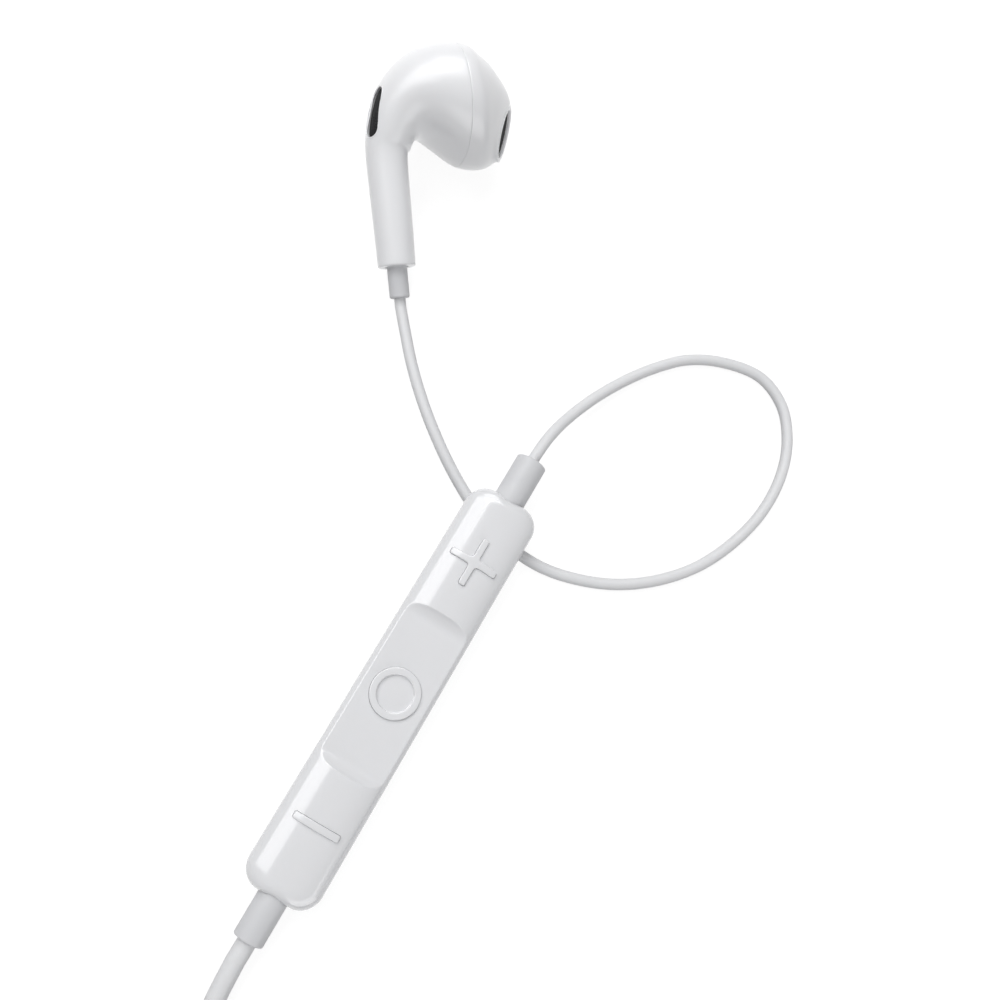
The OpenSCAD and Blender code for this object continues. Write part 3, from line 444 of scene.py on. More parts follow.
def seen_rays(tree):
    """1 for the rays that show a surface: straight, mirrored or through glass."""
    path = tree.nodes.new("ShaderNodeLightPath")
    out = path.outputs["Is Camera Ray"]
    for name in ("Is Glossy Ray", "Is Transmission Ray"):
        either = tree.nodes.new("ShaderNodeMath")
        either.operation = "MAXIMUM"
        tree.links.new(out, either.inputs[0])
        tree.links.new(path.outputs[name], either.inputs[1])
        out = either.outputs["Value"]
    return out


def room_white(light):
    """A white room that lights the table softly."""
    world = bpy.data.worlds.new("Room")
    world.use_nodes = True
    tree = world.node_tree
    sky = tree.nodes["Background"]
    sky.inputs["Color"].default_value = (1, 1, 1, 1)
    spread(tree, seen_rays(tree), light, 1, sky.inputs["Strength"])
    return world


# Each finish: its maker, its material's name, its colour or colour setting, and the rest.
FINISH_KINDS = {
    "shell_white": (shell_gloss, "Gloss white shell", "shell"),
    "bud_white": (shell_gloss, "Satin white shell", "bud", 0.32, 0.3),
    "key_white": (shell_gloss, "Gloss white key", "shell"),
    "cord_white": (cord_skin, "Soft white jacket", "cord"),
    "sleeve_white": (cord_skin, "Soft white sleeve", "sleeve"),
    "mesh_grey": (woven_wire, "Woven wire", "mesh"),
    "felt": (felt_black, "Damping cloth", (0.03, 0.03, 0.033)),
    "driver_steel": (brushed, "Pressed steel", "steel", 0.25, 0.45),
    "copper_wire": (brushed, "Enamelled copper", (0.72, 0.32, 0.15), 0.25, 0.35),
    "cone_film": (speckled, "Cone film", (0.75, 0.68, 0.48), 0.3, 1500),
    "board": (speckled, "Solder mask", (0.02, 0.16, 0.06), 0.35, 3000),
    "chip_black": (speckled, "Moulded black", (0.03, 0.03, 0.033), 0.6, 9000),
    "insulator": (speckled, "Insulating white", (0.8, 0.8, 0.78), 0.45, 4000),
    "contact_metal": (brushed, "Nickel contact", (0.8, 0.79, 0.76), 0.12, 0.22),
}
# Materials of the finishes made so far, by finish.
FINISHES = {}


def finish(name):
    """The material of a finish, made once."""
    if name not in FINISHES:
        make, title, base, *grading = FINISH_KINDS[name]
        if isinstance(base, str):
            base = getattr(bpy.context.scene.earphone_finish, base)
        FINISHES[name] = make(title, tuple(base), *grading)
    return FINISHES[name]


# ---------------------------------------------------------------- earbud form
REAR_HEAD = [
    ((0.104, -0.93), (-0.104, 0.945), 1.0),
    ((-0.05, -0.835), (-0.44, 0.875), 0.97),
    ((-0.215, -0.715), (-0.76, 0.715), 0.895),
    ((-0.37, -0.61), (-1.02, 0.455), 0.78),
    ((-0.52, -0.57), (-1.21, 0.14), 0.65),
    ((-0.645, -0.66), (-1.33, -0.24), 0.52),
    ((-0.705, -0.8), (-1.376, -0.6), 0.41),
]
CAP_HEAD = [
    ((0.235, -0.965), (0.125, 0.915), 0.975, 0.04, 0.05),
    ((0.355, -0.975), (0.305, 0.81), 0.92, 0.15, 0.2),
    ((0.465, -0.96), (0.51, 0.685), 0.83, 0.34, 0.4),
    ((0.56, -0.91), (0.695, 0.495), 0.7, 0.56, 0.62),
    ((0.63, -0.85), (0.845, 0.27), 0.53, 0.8, 0.82),
]


def through(rows):
    """Control points of the smooth curve through all the rows."""
    count = len(rows)
    shares = 4 * np.eye(count) + np.eye(count, k=1) + np.eye(count, k=-1)
    shares[0, :2], shares[-1, -2:] = (6, 0), (0, 6)
    return np.linalg.solve(shares, 6 * np.array(rows))


class EarbudForm:
    """The stations that both earbuds are lofted through, in metres, for a right earbud."""

    def __init__(self, size):
        self.size = size
        self.r = size.head_d / 2
        self.deep = self.r * size.fullness
        self.stem_top = np.array([-1.05 * self.deep, -0.964 * self.r])
        self.stem_dir = np.array([math.sin(size.stem_lean), -math.cos(size.stem_lean)])
        self.across = np.array([-math.cos(size.stem_lean), -math.sin(size.stem_lean)])
        self.stem_end = self.stem_top + size.stem_l * self.stem_dir
        self.port_middle = np.array([0.8 * self.deep, -0.405 * self.r])
        self.port_up = unit(np.array([0.24, 0.97]))
        self.port_shift = 0.17 * self.r
        neck_d = size.stem_d + 0.4 * MM
        rear = [self.head(low, high, half) for low, high, half in REAR_HEAD] + [
            self.stem(self.stem_top, neck_d),
            self.stem((self.stem_top + self.stem_end) / 2, (neck_d + size.stem_d) / 2),
            self.stem(self.stem_end, size.stem_d),
        ]
        low = self.port_middle - self.port_up * size.port_l / 2
        high = self.port_middle + self.port_up * size.port_l / 2
        cap = [
            self.head(low_, high_, half, self.port_shift * shift, size.port_cant * turn)
            for low_, high_, half, shift, turn in CAP_HEAD
        ] + [np.array([*low, *high, size.port_w / 2, self.port_shift, size.port_cant])]
        self.port_row, self.foot_row = len(cap), len(rear) - 1
        self.knots = through(cap[::-1] + rear)

    def head(self, low, high, half, shift=0.0, turn=0.0):
        """A station of the head, from its shares of the head's depth and radius."""
        return np.array([
            low[0] * self.deep, low[1] * self.r, high[0] * self.deep, high[1] * self.r,
            half * self.r, shift, turn,
        ])

    def stem(self, middle, diameter):
        """A station of the stem, square to it."""
        low = middle - self.across * diameter / 2
        high = middle + self.across * diameter / 2
        return np.array([*low, *high, diameter / 2, 0, 0])

    def row_at(self, s):
        """The station s rows behind the seam, or ahead of it where s is negative."""
        knots, s = self.knots, s + self.port_row
        last = len(knots) - 1
        i = min(int(s), last - 1)
        t = s - i
        before = knots[i - 1] if i > 0 else 2 * knots[0] - knots[1]
        after = knots[i + 2] if i + 2 <= last else 2 * knots[last] - knots[last - 1]
        return (
            before * (1 - t) ** 3 + knots[i] * (3 * t ** 3 - 6 * t * t + 4)
            + knots[i + 1] * (1 + 3 * t + 3 * t * t - 3 * t ** 3) + after * t ** 3
        ) / 6

    @staticmethod
    def ring(row, inset=0.0, depth=0.0, sides=128):
        """A station's oval outline, set in by inset and back by depth."""
        low, high, (half_w, shift, turn) = row[0:2], row[2:4], row[4:7]
        sin, cos = math.sin(turn), math.cos(turn)
        up = unit(high - low)
        along = np.array([up[0], up[1], 0])
        side = np.array([-up[1] * sin, up[0] * sin, cos])
        out = np.array([up[1] * cos, -up[0] * cos, sin])
        centre = np.array([*((low + high) / 2), shift]) - depth * out
        half_l = np.linalg.norm(high - low) / 2 - inset
        a = 2 * math.pi * np.arange(sides)[:, None] / sides
        return centre + along * half_l * np.cos(a) + side * (half_w - inset) * np.sin(a)


def pose(at, turn):
    """A place at a point, turned about its x, then y, then z."""
    place = Matrix.Translation(at)
    for angle_, axis in zip(turn[::-1], "ZYX"):
        place = place @ Matrix.Rotation(angle_, 4, axis)
    return place


SLEEVE_L = 3.5 * MM
SLEEVE_D = 2.3 * MM
BUD_ROLL = math.radians(8)


def earbud_pose(form, side):
    """The right earbud, or its mirror image, resting on its head and its sleeve's end."""
    end = form.stem_end + SLEEVE_L * form.stem_dir
    pitch = math.asin(
        (form.r - end[0] * math.sin(BUD_ROLL) - SLEEVE_D / 2) / (-end[1] * math.cos(BUD_ROLL))
    )
    if side == "right":
        return pose((-11.4 * MM, 55.85 * MM, form.r), (pitch, BUD_ROLL, math.radians(5.5)))
    lay = pose((24.45 * MM, -52.2 * MM, form.r), (pitch, -BUD_ROLL, math.radians(-90)))
    return lay @ Matrix.Scale(-1, 4, (1, 0, 0))


# ---------------------------------------------------------------- layout
REMOTE_YAW = math.radians(60.1)
REMOTE_MIDDLE = (-15.8 * MM, -9.4 * MM)
REMOTE_REST = 1.4 * MM      # height of the remote's upper end over the cord beneath it
BACK_ROUND = 1.1 * MM
CROSSING = 2 * MM           # distance of that cord from the upper end
SPLITTER_X = -32.6 * MM
SPLITTER_Y = -81 * MM       # upper end of the splitter
SPLITTER_L = 15 * MM
SPLITTER_T = 3.6 * MM
PLUG_AT = (-1.4 * MM, -136.678 * MM, 2.7 * MM)
COIL_LIFT = 0.4 * MM        # height of a coil over the table, for its tie
COIL_STEPS = 24             # points to each turn
# Each coil: middle, mean radius, angle of its lower end, sense, turns and angle of its tie.
COILS = {
    "remote": ((-20.8 * MM, -60 * MM), 12 * MM, 180, 1, 2, 0),
    "left": ((-14 * MM, -87.3 * MM), 8 * MM, 90, -1, 6, -90),
    "main": ((-14.3 * MM, -118.4 * MM), 12 * MM, 180, 1, 10.25, -90),
}


def remote_pose(size):
    """The remote's own frame: x up from its lower end, z out from its back."""
    pitch = math.asin(REMOTE_REST / (size.length - CROSSING - BACK_ROUND))
    back = math.cos(pitch) * size.length / 2
    at = (
        REMOTE_MIDDLE[0] - math.cos(REMOTE_YAW) * back,
        REMOTE_MIDDLE[1] - math.sin(REMOTE_YAW) * back, 0,
    )
    return pose(at, (0, -pitch, REMOTE_YAW))


def coil_cord(name, size):
    """The diameter of a coil's cord, and the pitch of its turns."""
    d = size.thin_d if name == "left" else size.thick_d
    return d, d + size.turn_gap


def coil(name, size):
    """A wound coil's way, from its lower end to its upper, with a straight end each way."""
    middle, mean_r, first, sense, turns, _ = COILS[name]
    d, pitch = coil_cord(name, size)
    reach, half = pitch * turns / 4, turns / 2

    def at(t):
        r = mean_r + reach - pitch * (t if t < half else turns - t)
        a = math.radians(first + sense * 360 * t)
        z = COIL_LIFT + d / 2 + pitch * float(smooth_step((t - half) / 0.5 + 0.5))
        return np.array([middle[0] + r * math.cos(a), middle[1] + r * math.sin(a), z])

    def ahead(t):
        a = math.radians(first + sense * 360 * t)
        return np.array([-math.sin(a) * sense, math.cos(a) * sense, 0])

    ring = [at(i / COIL_STEPS) for i in range(int(round(turns * COIL_STEPS)) + 1)]
    leads = (1, 1.6, 2.2)
    start = [ring[0] - ahead(0) * d * k for k in leads[::-1]]
    return start + ring + [ring[-1] + ahead(turns) * d * k for k in leads]


def mm(*rows):
    """Points in millimetres; a thin cord's rest on the table where no height is given."""
    return [np.array([*row, 0.7][:3], float) * MM for row in rows]


def laid_routes():
    """The ways of the four cords from their exits, and their diameters."""
    scene = bpy.context.scene
    size, remote_size = scene.earphone_cord, scene.earphone_remote
    form, on_remote = EarbudForm(scene.earphone_bud), remote_pose(remote_size)

    def sleeve_end(side, out):
        way = form.stem_end + (SLEEVE_L + out * MM) * form.stem_dir
        return placed([(way[0], way[1], 0)], earbud_pose(form, side))[0]

    def by_remote(x):
        return placed([(x, 0, remote_size.thickness / 2)], on_remote)[0]

    right = [sleeve_end("right", out) for out in (0, 0.5, 1)] + mm(
        (-15.7, 30.3), (-14.9, 26.6), (-13.7, 22.6), (-12.2, 18.7), (-10.2, 14.5), (-7.6, 10.3),
        (-4.4, 6.7), (-0.6, 4.1), (3.7, 2.7), (8.6, 2.2), (13.7, 2.9), (18.5, 4.7), (22.8, 7.6),
        (26.4, 11.2), (29, 15.5), (30.2, 20), (29.8, 24.5), (27.2, 28), (22.6, 29.5), (18, 29.5),
        (13.7, 28.1), (9.8, 26.1, 0.9), (6.1, 23.6, 1.5), (2.8, 20.8, 2.3), (0.4, 18.2, 3.3),
    ) + [by_remote(remote_size.length + out * MM) for out in (6.1, 5.6, 5.1)]

    remote = [by_remote(-out * MM) for out in (4.4, 5.6, 6.8)] + mm(
        (-32.4, -38.9, 1.8), (-33.5, -42.6, 1.5), (-34, -47, 1.4), (-34, -51.2, 1.4),
    ) + coil("remote", size) + mm(
        (-34, -69.4, 3.1), (-34, -74, 2.1), (-34, -78.6, 1.8), (-34, -79.8, 1.8), (-34, -81, 1.8),
    )

    left = mm(
        (-31, -81, 1.8), (-31, -80.5, 1.8), (-31, -80, 1.8), (-30.2, -77.6, 1.6),
        (-27.6, -76.1, 1.3), (-23.6, -75.9, 1.1),
    ) + coil("left", size) + mm(
        (-7.6, -75.8, 2.2), (-5.2, -73.8, 1.5), (-4.1, -70.8, 1), (-4, -67.6, 0.8),
        (-3.9, -64.5), (-3.2, -61.7), (-1.2, -59.5),
    ) + [sleeve_end("left", out) for out in (1, 0.5, 0)]

    main_ = mm(
        (-32.6, -99, 1.8), (-32.6, -100.2, 1.8), (-32.6, -101.4, 1.8), (-32.6, -105.4, 1.6),
        (-32.6, -109.6, 1.4),
    ) + coil("main", size) + [
        np.array([x * MM, PLUG_AT[1], z * MM])
        for x, z in ((-7.6, 3.5), (-5.6, 2.9), (-3.8, 2.7), (-2.6, 2.7), (-1.4, 2.7))
    ]
    return {
        "right": (right, size.thin_d), "remote": (remote, size.thick_d),
        "left": (left[::-1], size.thin_d), "main": (main_, size.thick_d),
    }


def even(points, step):
    """The same way with its points set at even steps of length."""
    p = np.asarray(points)
    run = np.concatenate([[0], np.cumsum(np.linalg.norm(np.diff(p, axis=0), axis=1))])
    count = max(int(run[-1] / step), 2)
    at = np.linspace(0, run[-1], count + 1)
    return np.stack([np.interp(at, run, p[:, k]) for k in range(3)], axis=1), run[-1]


def tube(way, d, sides=16):
    """Points and faces of a cord of diameter d along a way."""
    way = np.asarray(way)
    ahead = np.gradient(way, axis=0)
    ahead /= np.linalg.norm(ahead, axis=1)[:, None]
    side = unit(np.cross(ahead[0], (0, 0, 1)))
    a = 2 * math.pi * (np.arange(sides)[:, None] + 0.5) / sides
    rings = []
    for at, run in zip(way, ahead):
        side = unit(side - run * np.dot(side, run))
        up = np.cross(side, run)
        rings.append(at + (side * np.cos(a) + up * np.sin(a)) * d / 2)
    return skin(rings)


# ---------------------------------------------------------------- operators
LOOK_AT = (-5 * MM, 11 * MM, 2 * MM)
TABLE_GLOW = 0.88           # light that the table adds for the camera
ROOM_LIGHT = 0.27
# Each lamp: its direction, distance, width, length, turn in degrees and power.
LAMPS = (
    ("Overhead strip", (-0.479, 0.396, 0.784), 0.6, 0.44, 0.5, 60.5, 1.75),
    ("Upper softbox", (0.02, 0.68, 0.73), 0.8, 0.62, 0.42, 0, 2.1),
    ("Low fill", (0.25, -0.91, 0.33), 0.8, 0.5, 0.9, 16, 2.1),
)


def squared(way, axis):
    """The part of a direction that is square to an axis."""
    return (way - axis * way.dot(axis)).normalized()


def facing(at, right, up, back):
    """A camera's or a lamp's place, from its three axes."""
    return Matrix.Translation(at) @ Matrix((right, up, back)).transposed().to_4x4()


class EARPHONE_OT_stage(bpy.types.Operator):
    """Sets the camera, the table and the soft lights"""
    bl_idname = "earphones.stage"
    bl_label = "Stage"

    def execute(self, context):
        look, scene = context.scene.earphone_stage, context.scene
        scene.view_settings.view_transform = "Standard"
        target = Vector(LOOK_AT)
        lean = Vector((math.sin(look.heading), math.cos(look.heading), 0))
        forward = (lean * math.sin(look.tilt) + Vector((0, 0, -math.cos(look.tilt)))).normalized()
        right = squared(forward.cross(Vector((0, 1, 0))), forward)
        data = bpy.data.cameras.new("Table camera")
        data.lens, data.sensor_width = look.lens, 36
        data.clip_start, data.clip_end = 0.01, 10
        camera = linked("Table camera", data)
        camera.matrix_world = facing(
            target - forward * look.reach, right, right.cross(forward), -forward)
        scene.camera = camera

        table = solid("table_top", *table_form())
        table.data.shade_smooth()
        floor = tuple(scene.earphone_finish.floor)
        table.data.materials.append(stage_white("Table white", floor, TABLE_GLOW))
        for name, way, far, wide, long_, turn, power in LAMPS:
            data = bpy.data.lights.new(name, "AREA")
            data.shape, data.size, data.size_y, data.energy = "RECTANGLE", long_, wide, power
            lamp = linked(name, data)
            lamp.visible_camera = False
            out = Vector(way).normalized()
            along = Vector((math.cos(math.radians(turn)), math.sin(math.radians(turn)), 0))
            along = squared(along, out)
            lamp.matrix_world = facing(target + out * far, along, out.cross(along), out)
        scene.world = room_white(ROOM_LIGHT)
        return {"FINISHED"}


def table_form():
    """A wide, thin round table top, level with the lowest point of the earphones."""
    profile = [(0, -0.006), (1.19, -0.006), (1.2, -0.004), (1.2, -0.002), (1.19, 0), (0, 0)]
    return lathe(profile, 128)


# Each cord: its piece, far end and lay, the nodes it stands in for and the pieces on it.
CORDS = {
    "right": ("right_bud_cord", "object", "loose", ["right_cord"], ()),
    "remote": (
        "remote_run", "object", "coiled", ["remote_cord", "remote_coil", "splitter_cord"],
        ("remote_coil_tie",)),
    "left": (
        "left_bud_cord", "object", "coiled", ["left_lead", "left_coil", "left_cord"],
        ("left_coil_tie",)),
    "main": (
        "main_run", "plug", "coiled", ["main_lead", "main_coil", "plug_cord"],
        ("main_coil_tie", "plug_bend_relief", "plug_handle", "plug_pin_barrel",
         "plug_pin_second", "plug_pin_first", "plug_pin_tip", "plug_pin_core",
         "splitter_sleeve_skin", "splitter_shell")),
}


class EARPHONE_OT_cords(bpy.types.Operator):
    """Lays the four cords along their routes"""
    bl_idname = "earphones.cords"
    bl_label = "Cords"

    def execute(self, context):
        for key, (route, d) in laid_routes().items():
            name, far, lay, nodes, parts = CORDS[key]
            way, total = even(catmull(route, 8), d * 0.35)
            piece = dress(solid(name, *tube(way, d)), "cord_white", 40, *nodes)
        return {"FINISHED"}


class EARPHONE_OT_cord_facts(bpy.types.Operator):
    """Does nothing: no cord's length and no piece on a cord is stated"""
    bl_idname = "earphones.cord_facts"
    bl_label = "Cord facts"

    def execute(self, context):
        return {"FINISHED"}


# ---------------------------------------------------------------- earbuds
LIP = 0.06 * MM
PORT_RIM = 0.45 * MM
VENT_TURN = math.radians(-10)
VENT_ROLL = math.radians(17)
VENT_AXIS = 4.2 * MM        # depth of the line that the vent is turned round
RAY_START = -4 * MM         # well behind the head
RIM_SINK = 0.07 * MM        # depth of the vent's bead below the shell
RIM_R = 0.11 * MM
WIRE_D = 0.085 * MM
WIRE_WAVE = 0.025 * MM
SEAT_DEPTH = 0.8 * MM       # part of the sleeve inside the stem


def lip_rings(form, way):
    """The softened edge at the seam, on the side that way points to."""
    return [
        form.ring(form.row_at(way * s), inset)
        for s, inset in ((0, LIP), (0.008, LIP * 0.6), (0.02, LIP * 0.25), (0.04, LIP * 0.05))
    ]


def housing_form(form):
    """The rear of the head, its neck and the stem, hollow and open at the foot."""
    last = form.foot_row
    rings = lip_rings(form, 1)
    rings += [form.ring(form.row_at(s)) for s in np.arange(0.1, last - 0.05, 0.1)]
    rings += [form.ring(form.row_at(last), inset, -drop) for inset, drop in quarter(0.18 * MM, 6)]
    rings += [
        form.ring(form.row_at(s), form.size.wall) for s in np.arange(last, -0.01, -0.25)
    ]
    return skin(rings, looped=True)


def cap_form(form):
    """The front of the head, drawn out to the rim of its oval port."""
    size, last = form.size, form.port_row
    port = form.row_at(-last)
    rings = lip_rings(form, -1)
    rings += [form.ring(form.row_at(-s)) for s in np.arange(0.1, last - 0.35, 0.08)]
    flare, soft = 0.1 * MM, 0.15 * MM
    for a in np.linspace(0.2, math.pi / 2, 6):
        inset = -flare + (flare + soft) * (1 - math.cos(a))
        rings.append(form.ring(port, inset, soft * (1 - math.sin(a))))
    rings += [form.ring(port, PORT_RIM - drop, inset) for inset, drop in quarter(soft, 5)]
    rings.append(form.ring(port, PORT_RIM, size.port_depth))
    rings += [form.ring(form.row_at(-s), size.wall) for s in np.arange(last - 2, -0.01, -0.25)]
    return skin(rings, looped=True)


def vent_frame(form):
    """Places the vent's outline: x into the head's back, y along the slot."""
    at = (-1.33 * form.deep, -0.27 * form.r, 0)
    axis = Matrix.Translation((VENT_AXIS, 0, 0))
    return (
        Matrix.Translation(at) @ Matrix.Rotation(VENT_TURN, 4, "Z")
        @ axis @ Matrix.Rotation(VENT_ROLL, 4, "Y") @ axis.inverted()
    )


def port_frame(form):
    """Places the port's outline: z out of the port, y along it."""
    middle, up = form.port_middle, form.port_up
    return (
        Matrix.Translation((middle[0], middle[1], form.port_shift))
        @ Matrix.Rotation(math.atan2(-up[0], up[1]), 4, "Z")
        @ Matrix.Rotation(math.radians(90) - form.size.port_cant, 4, "Y")
    )


def surface(piece):
    """A piece's surface, for rays to meet."""
    return BVHTree.FromObject(piece, bpy.context.evaluated_depsgraph_get())


def met(tree, origin, way):
    """Where a ray from the origin along way meets a surface."""
    at = tree.ray_cast(Vector(origin), Vector(way))[0]
    if at is None:
        raise RuntimeError("a ray missed its surface")
    return np.array(at)


def net_lines(half_l, half_w, pitch, power, lift):
    """Woven lines as rows of (along, across, height), inside an oval of a power, or a slot
    where the power is 0."""
    lines = []

    def inside(u, v):
        if power:
            return abs(u / half_l) ** power + abs(v / half_w) ** power <= 1
        straight = max(abs(u) - (half_l - half_w), 0)
        return math.hypot(straight, v) <= half_w

    def run(count_a, count_b, flip):
        for i in range(-count_a, count_a + 1):
            line = []
            for j in range(-count_b * 2, count_b * 2 + 1):
                u, v = i * pitch, j * pitch / 2
                if flip:
                    u, v = v, u
                if inside(u, v):
                    wave = math.cos(math.pi * (j / 2 + i)) * (1 if flip else -1)
                    line.append((u, v, lift * wave))
            if len(line) > 2:
                lines.append(line)

    run(int(half_l / pitch), int(half_w / pitch) + 1, False)
    run(int(half_w / pitch), int(half_l / pitch) + 1, True)
    return lines


def wire_net(name, lines, node):
    """Lines of points turned into round wires by Geometry Nodes."""
    points, edges = [], []
    for line in lines:
        start = len(points)
        points += [tuple(p) for p in line]
        edges += [(start + k, start + k + 1) for k in range(len(line) - 1)]
    mesh = bpy.data.meshes.new(name)
    mesh.from_pydata(points, edges, [])
    net = linked(name, mesh)
    group, sockets = wire_nodes(finish("mesh_grey"))
    mod = net.modifiers.new("wires", "NODES")
    mod.node_group = group
    mod[sockets["Wire thickness"]] = WIRE_D
    mod[sockets["Sides"]] = 5
    settle(net)
    dress(net, "mesh_grey", None, node)


def wire_nodes(material):
    """A node group that gives every edge a round wire."""
    group = bpy.data.node_groups.new("Round wires", "GeometryNodeTree")
    face = group.interface
    face.new_socket("Lines", in_out="INPUT", socket_type="NodeSocketGeometry")
    thick = face.new_socket("Wire thickness", in_out="INPUT", socket_type="NodeSocketFloat")
    sides = face.new_socket("Sides", in_out="INPUT", socket_type="NodeSocketInt")
    face.new_socket("Wires", in_out="OUTPUT", socket_type="NodeSocketGeometry")
    make = group.nodes.new
    start, end = make("NodeGroupInput"), make("NodeGroupOutput")
    way = make("GeometryNodeMeshToCurve")
    ring = make("GeometryNodeCurvePrimitiveCircle")
    half = make("ShaderNodeMath")
    half.operation = "MULTIPLY"
    half.inputs[1].default_value = 0.5
    sweep = make("GeometryNodeCurveToMesh")
    sweep.inputs["Fill Caps"].default_value = True
    real = make("GeometryNodeRealizeInstances")
    paint = make("GeometryNodeSetMaterial")
    paint.inputs["Material"].default_value = material
    for source, out, target, into in (
        (start, "Lines", way, "Mesh"), (start, "Wire thickness", half, 0),
        (half, "Value", ring, "Radius"), (start, "Sides", ring, "Resolution"),
        (way, "Curve", sweep, "Curve"), (ring, "Curve", sweep, "Profile Curve"),
        (sweep, "Mesh", real, "Geometry"), (real, "Geometry", paint, "Geometry"),
        (paint, "Geometry", end, "Wires"),
    ):
        group.links.new(source.outputs[out], target.inputs[into])
    return group, {"Wire thickness": thick.identifier, "Sides": sides.identifier}


def closed_bead(points, radius, sides=10):
    """A round bead along a closed loop of points."""
    p = np.asarray(points)
    count = len(p)
    middle = p.mean(axis=0)
    rings = []
    for i in range(count):
        run = unit(p[(i + 1) % count] - p[i - 1])
        side = unit(p[i] - middle - run * np.dot(p[i] - middle, run))
        up = np.cross(side, run)
        a = 2 * math.pi * np.arange(sides)[:, None] / sides
        rings.append(p[i] + (side * np.cos(a) + up * np.sin(a)) * radius)
    return skin(rings, looped=True)


def vent_pieces(side, form, lay, shell):
    """Cuts the vent slot, edges it with a bead and fills it with woven mesh over cloth."""
    size, frame_ = form.size, vent_frame(form)
    inwards = np.array(frame_)[:3, :3] @ np.array([1, 0, 0])

    def behind(u, v):
        return placed([(RAY_START, u, v)], frame_)[0]

    outline, tree = slot_outline(size.vent_l, size.vent_w, 20), surface(shell)
    rim = [met(tree, behind(u, v), inwards) + inwards * RIM_SINK for u, v in outline]
    points, faces = skin([[(x, u, v) for u, v in outline] for x in (-2.2 * MM, 2.2 * MM)])
    cut_away(shell, solid("vent_cut", placed(points, frame_), faces))
    laid(f"{side}_vent_rim", closed_bead(rim, RIM_R), lay, "bud_white", None)

    inner = solid("vent_bed", *housing_inset(form, size.mesh_recess + 0.1 * MM))
    bed = surface(inner)

    def on_bed(u, v, lift):
        return met(bed, behind(u, v), inwards) - inwards * lift

    lines = net_lines(
        size.vent_l / 2 - 0.02 * MM, size.vent_w / 2 - 0.02 * MM, size.wire_pitch, 0, WIRE_WAVE)
    lines = [placed([on_bed(*p) for p in line], lay) for line in lines]
    wire_net(f"{side}_vent_weave", lines, f"{side}_vent_mesh")
    rings = [
        [on_bed(u, v, -0.12 * MM)
         for u, v in slot_outline(size.vent_l * share, size.vent_w * share, 20)]
        for share in (1.0, 0.66, 0.33)
    ]
    deep = [[p + inwards * 0.08 * MM for p in ring] for ring in rings[::-1]]
    laid(
        f"{side}_vent_cloth", skin(rings + deep, looped=True), lay, "felt", None,
        f"{side}_vent_mesh")
    bpy.data.objects.remove(inner)


def housing_inset(form, inset):
    """The inner face of the housing behind the vent."""
    return skin([form.ring(form.row_at(s), inset) for s in np.arange(2.5, 7.6, 0.1)])


def port_pieces(side, form, lay):
    """Woven mesh over damping cloth, down in the port's tunnel."""
    size, frame_ = form.size, port_frame(form)
    half_l, half_w = size.port_l / 2 - PORT_RIM, size.port_w / 2 - PORT_RIM
    top = -size.port_depth + 0.5 * MM
    lines = net_lines(half_l - 0.01 * MM, half_w - 0.01 * MM, size.wire_pitch, 2, WIRE_WAVE)
    lines = [
        placed(placed([(v, u, top + lift) for u, v, lift in line], frame_), lay) for line in lines
    ]
    wire_net(f"{side}_port_weave", lines, f"{side}_port_mesh")
    points, faces = skin([
        [(half_w * share * math.sin(a), half_l * share * math.cos(a), top - depth * MM)
         for a in np.linspace(0, 2 * math.pi, 48, endpoint=False)]
        for share, depth in ((0.5, 0.1), (1.0, 0.1), (1.0, 0.2), (0.5, 0.21))
    ])
    laid(
        f"{side}_port_cloth", (placed(points, frame_), faces), lay, "felt", None,
        f"{side}_port_mesh")


def sleeve_piece(side, form, lay):
    """The soft sleeve that carries the cord out of the stem."""
    flange = form.size.stem_d / 2 - form.size.wall - 0.06 * MM
    profile = (
        [(0, -SEAT_DEPTH), (flange, -SEAT_DEPTH)]
        + arc((flange - 0.1 * MM, -0.12 * MM), 0.1 * MM, 0, 90, 4)
        + arc((SLEEVE_D / 2 + 0.15 * MM, 0.13 * MM), 0.15 * MM, 270, 180, 5)
        + top_edge(SLEEVE_D / 2, SLEEVE_L, 0.22 * MM)
        + [(0.66 * MM, SLEEVE_L), (0, SLEEVE_L - 0.1 * MM)]
    )
    end = form.stem_end
    on_stem = (
        Matrix.Translation((end[0], end[1], 0))
        @ Matrix.Rotation(form.size.stem_lean, 4, "Z") @ turned(90, "X")
    )
    points, faces = lathe(profile, 64)
    laid(
        f"{side}_bud_sleeve", (placed(points, on_stem), faces), lay, "sleeve_white", 40,
        f"{side}_sleeve")


class EARPHONE_OT_earbuds(bpy.types.Operator):
    """Builds both earbuds: shells, port, vent and sleeve"""
    bl_idname = "earphones.earbuds"
    bl_label = "Earbuds"

    def execute(self, context):
        form = EarbudForm(context.scene.earphone_bud)
        for side in SIDES:
            lay = earbud_pose(form, side)
            shell = solid(f"{side}_housing", *housing_form(form))
            vent_pieces(side, form, lay, shell)
            shell.data.transform(lay)
            if lay.determinant() < 0:
                shell.data.flip_normals()
            dress(shell, "bud_white", 50, f"{side}_rear_housing")
            laid(f"{side}_cap", cap_form(form), lay, "bud_white", 50, f"{side}_front_cap")
            sleeve_piece(side, form, lay)
            port_pieces(side, form, lay)
        return {"FINISHED"}


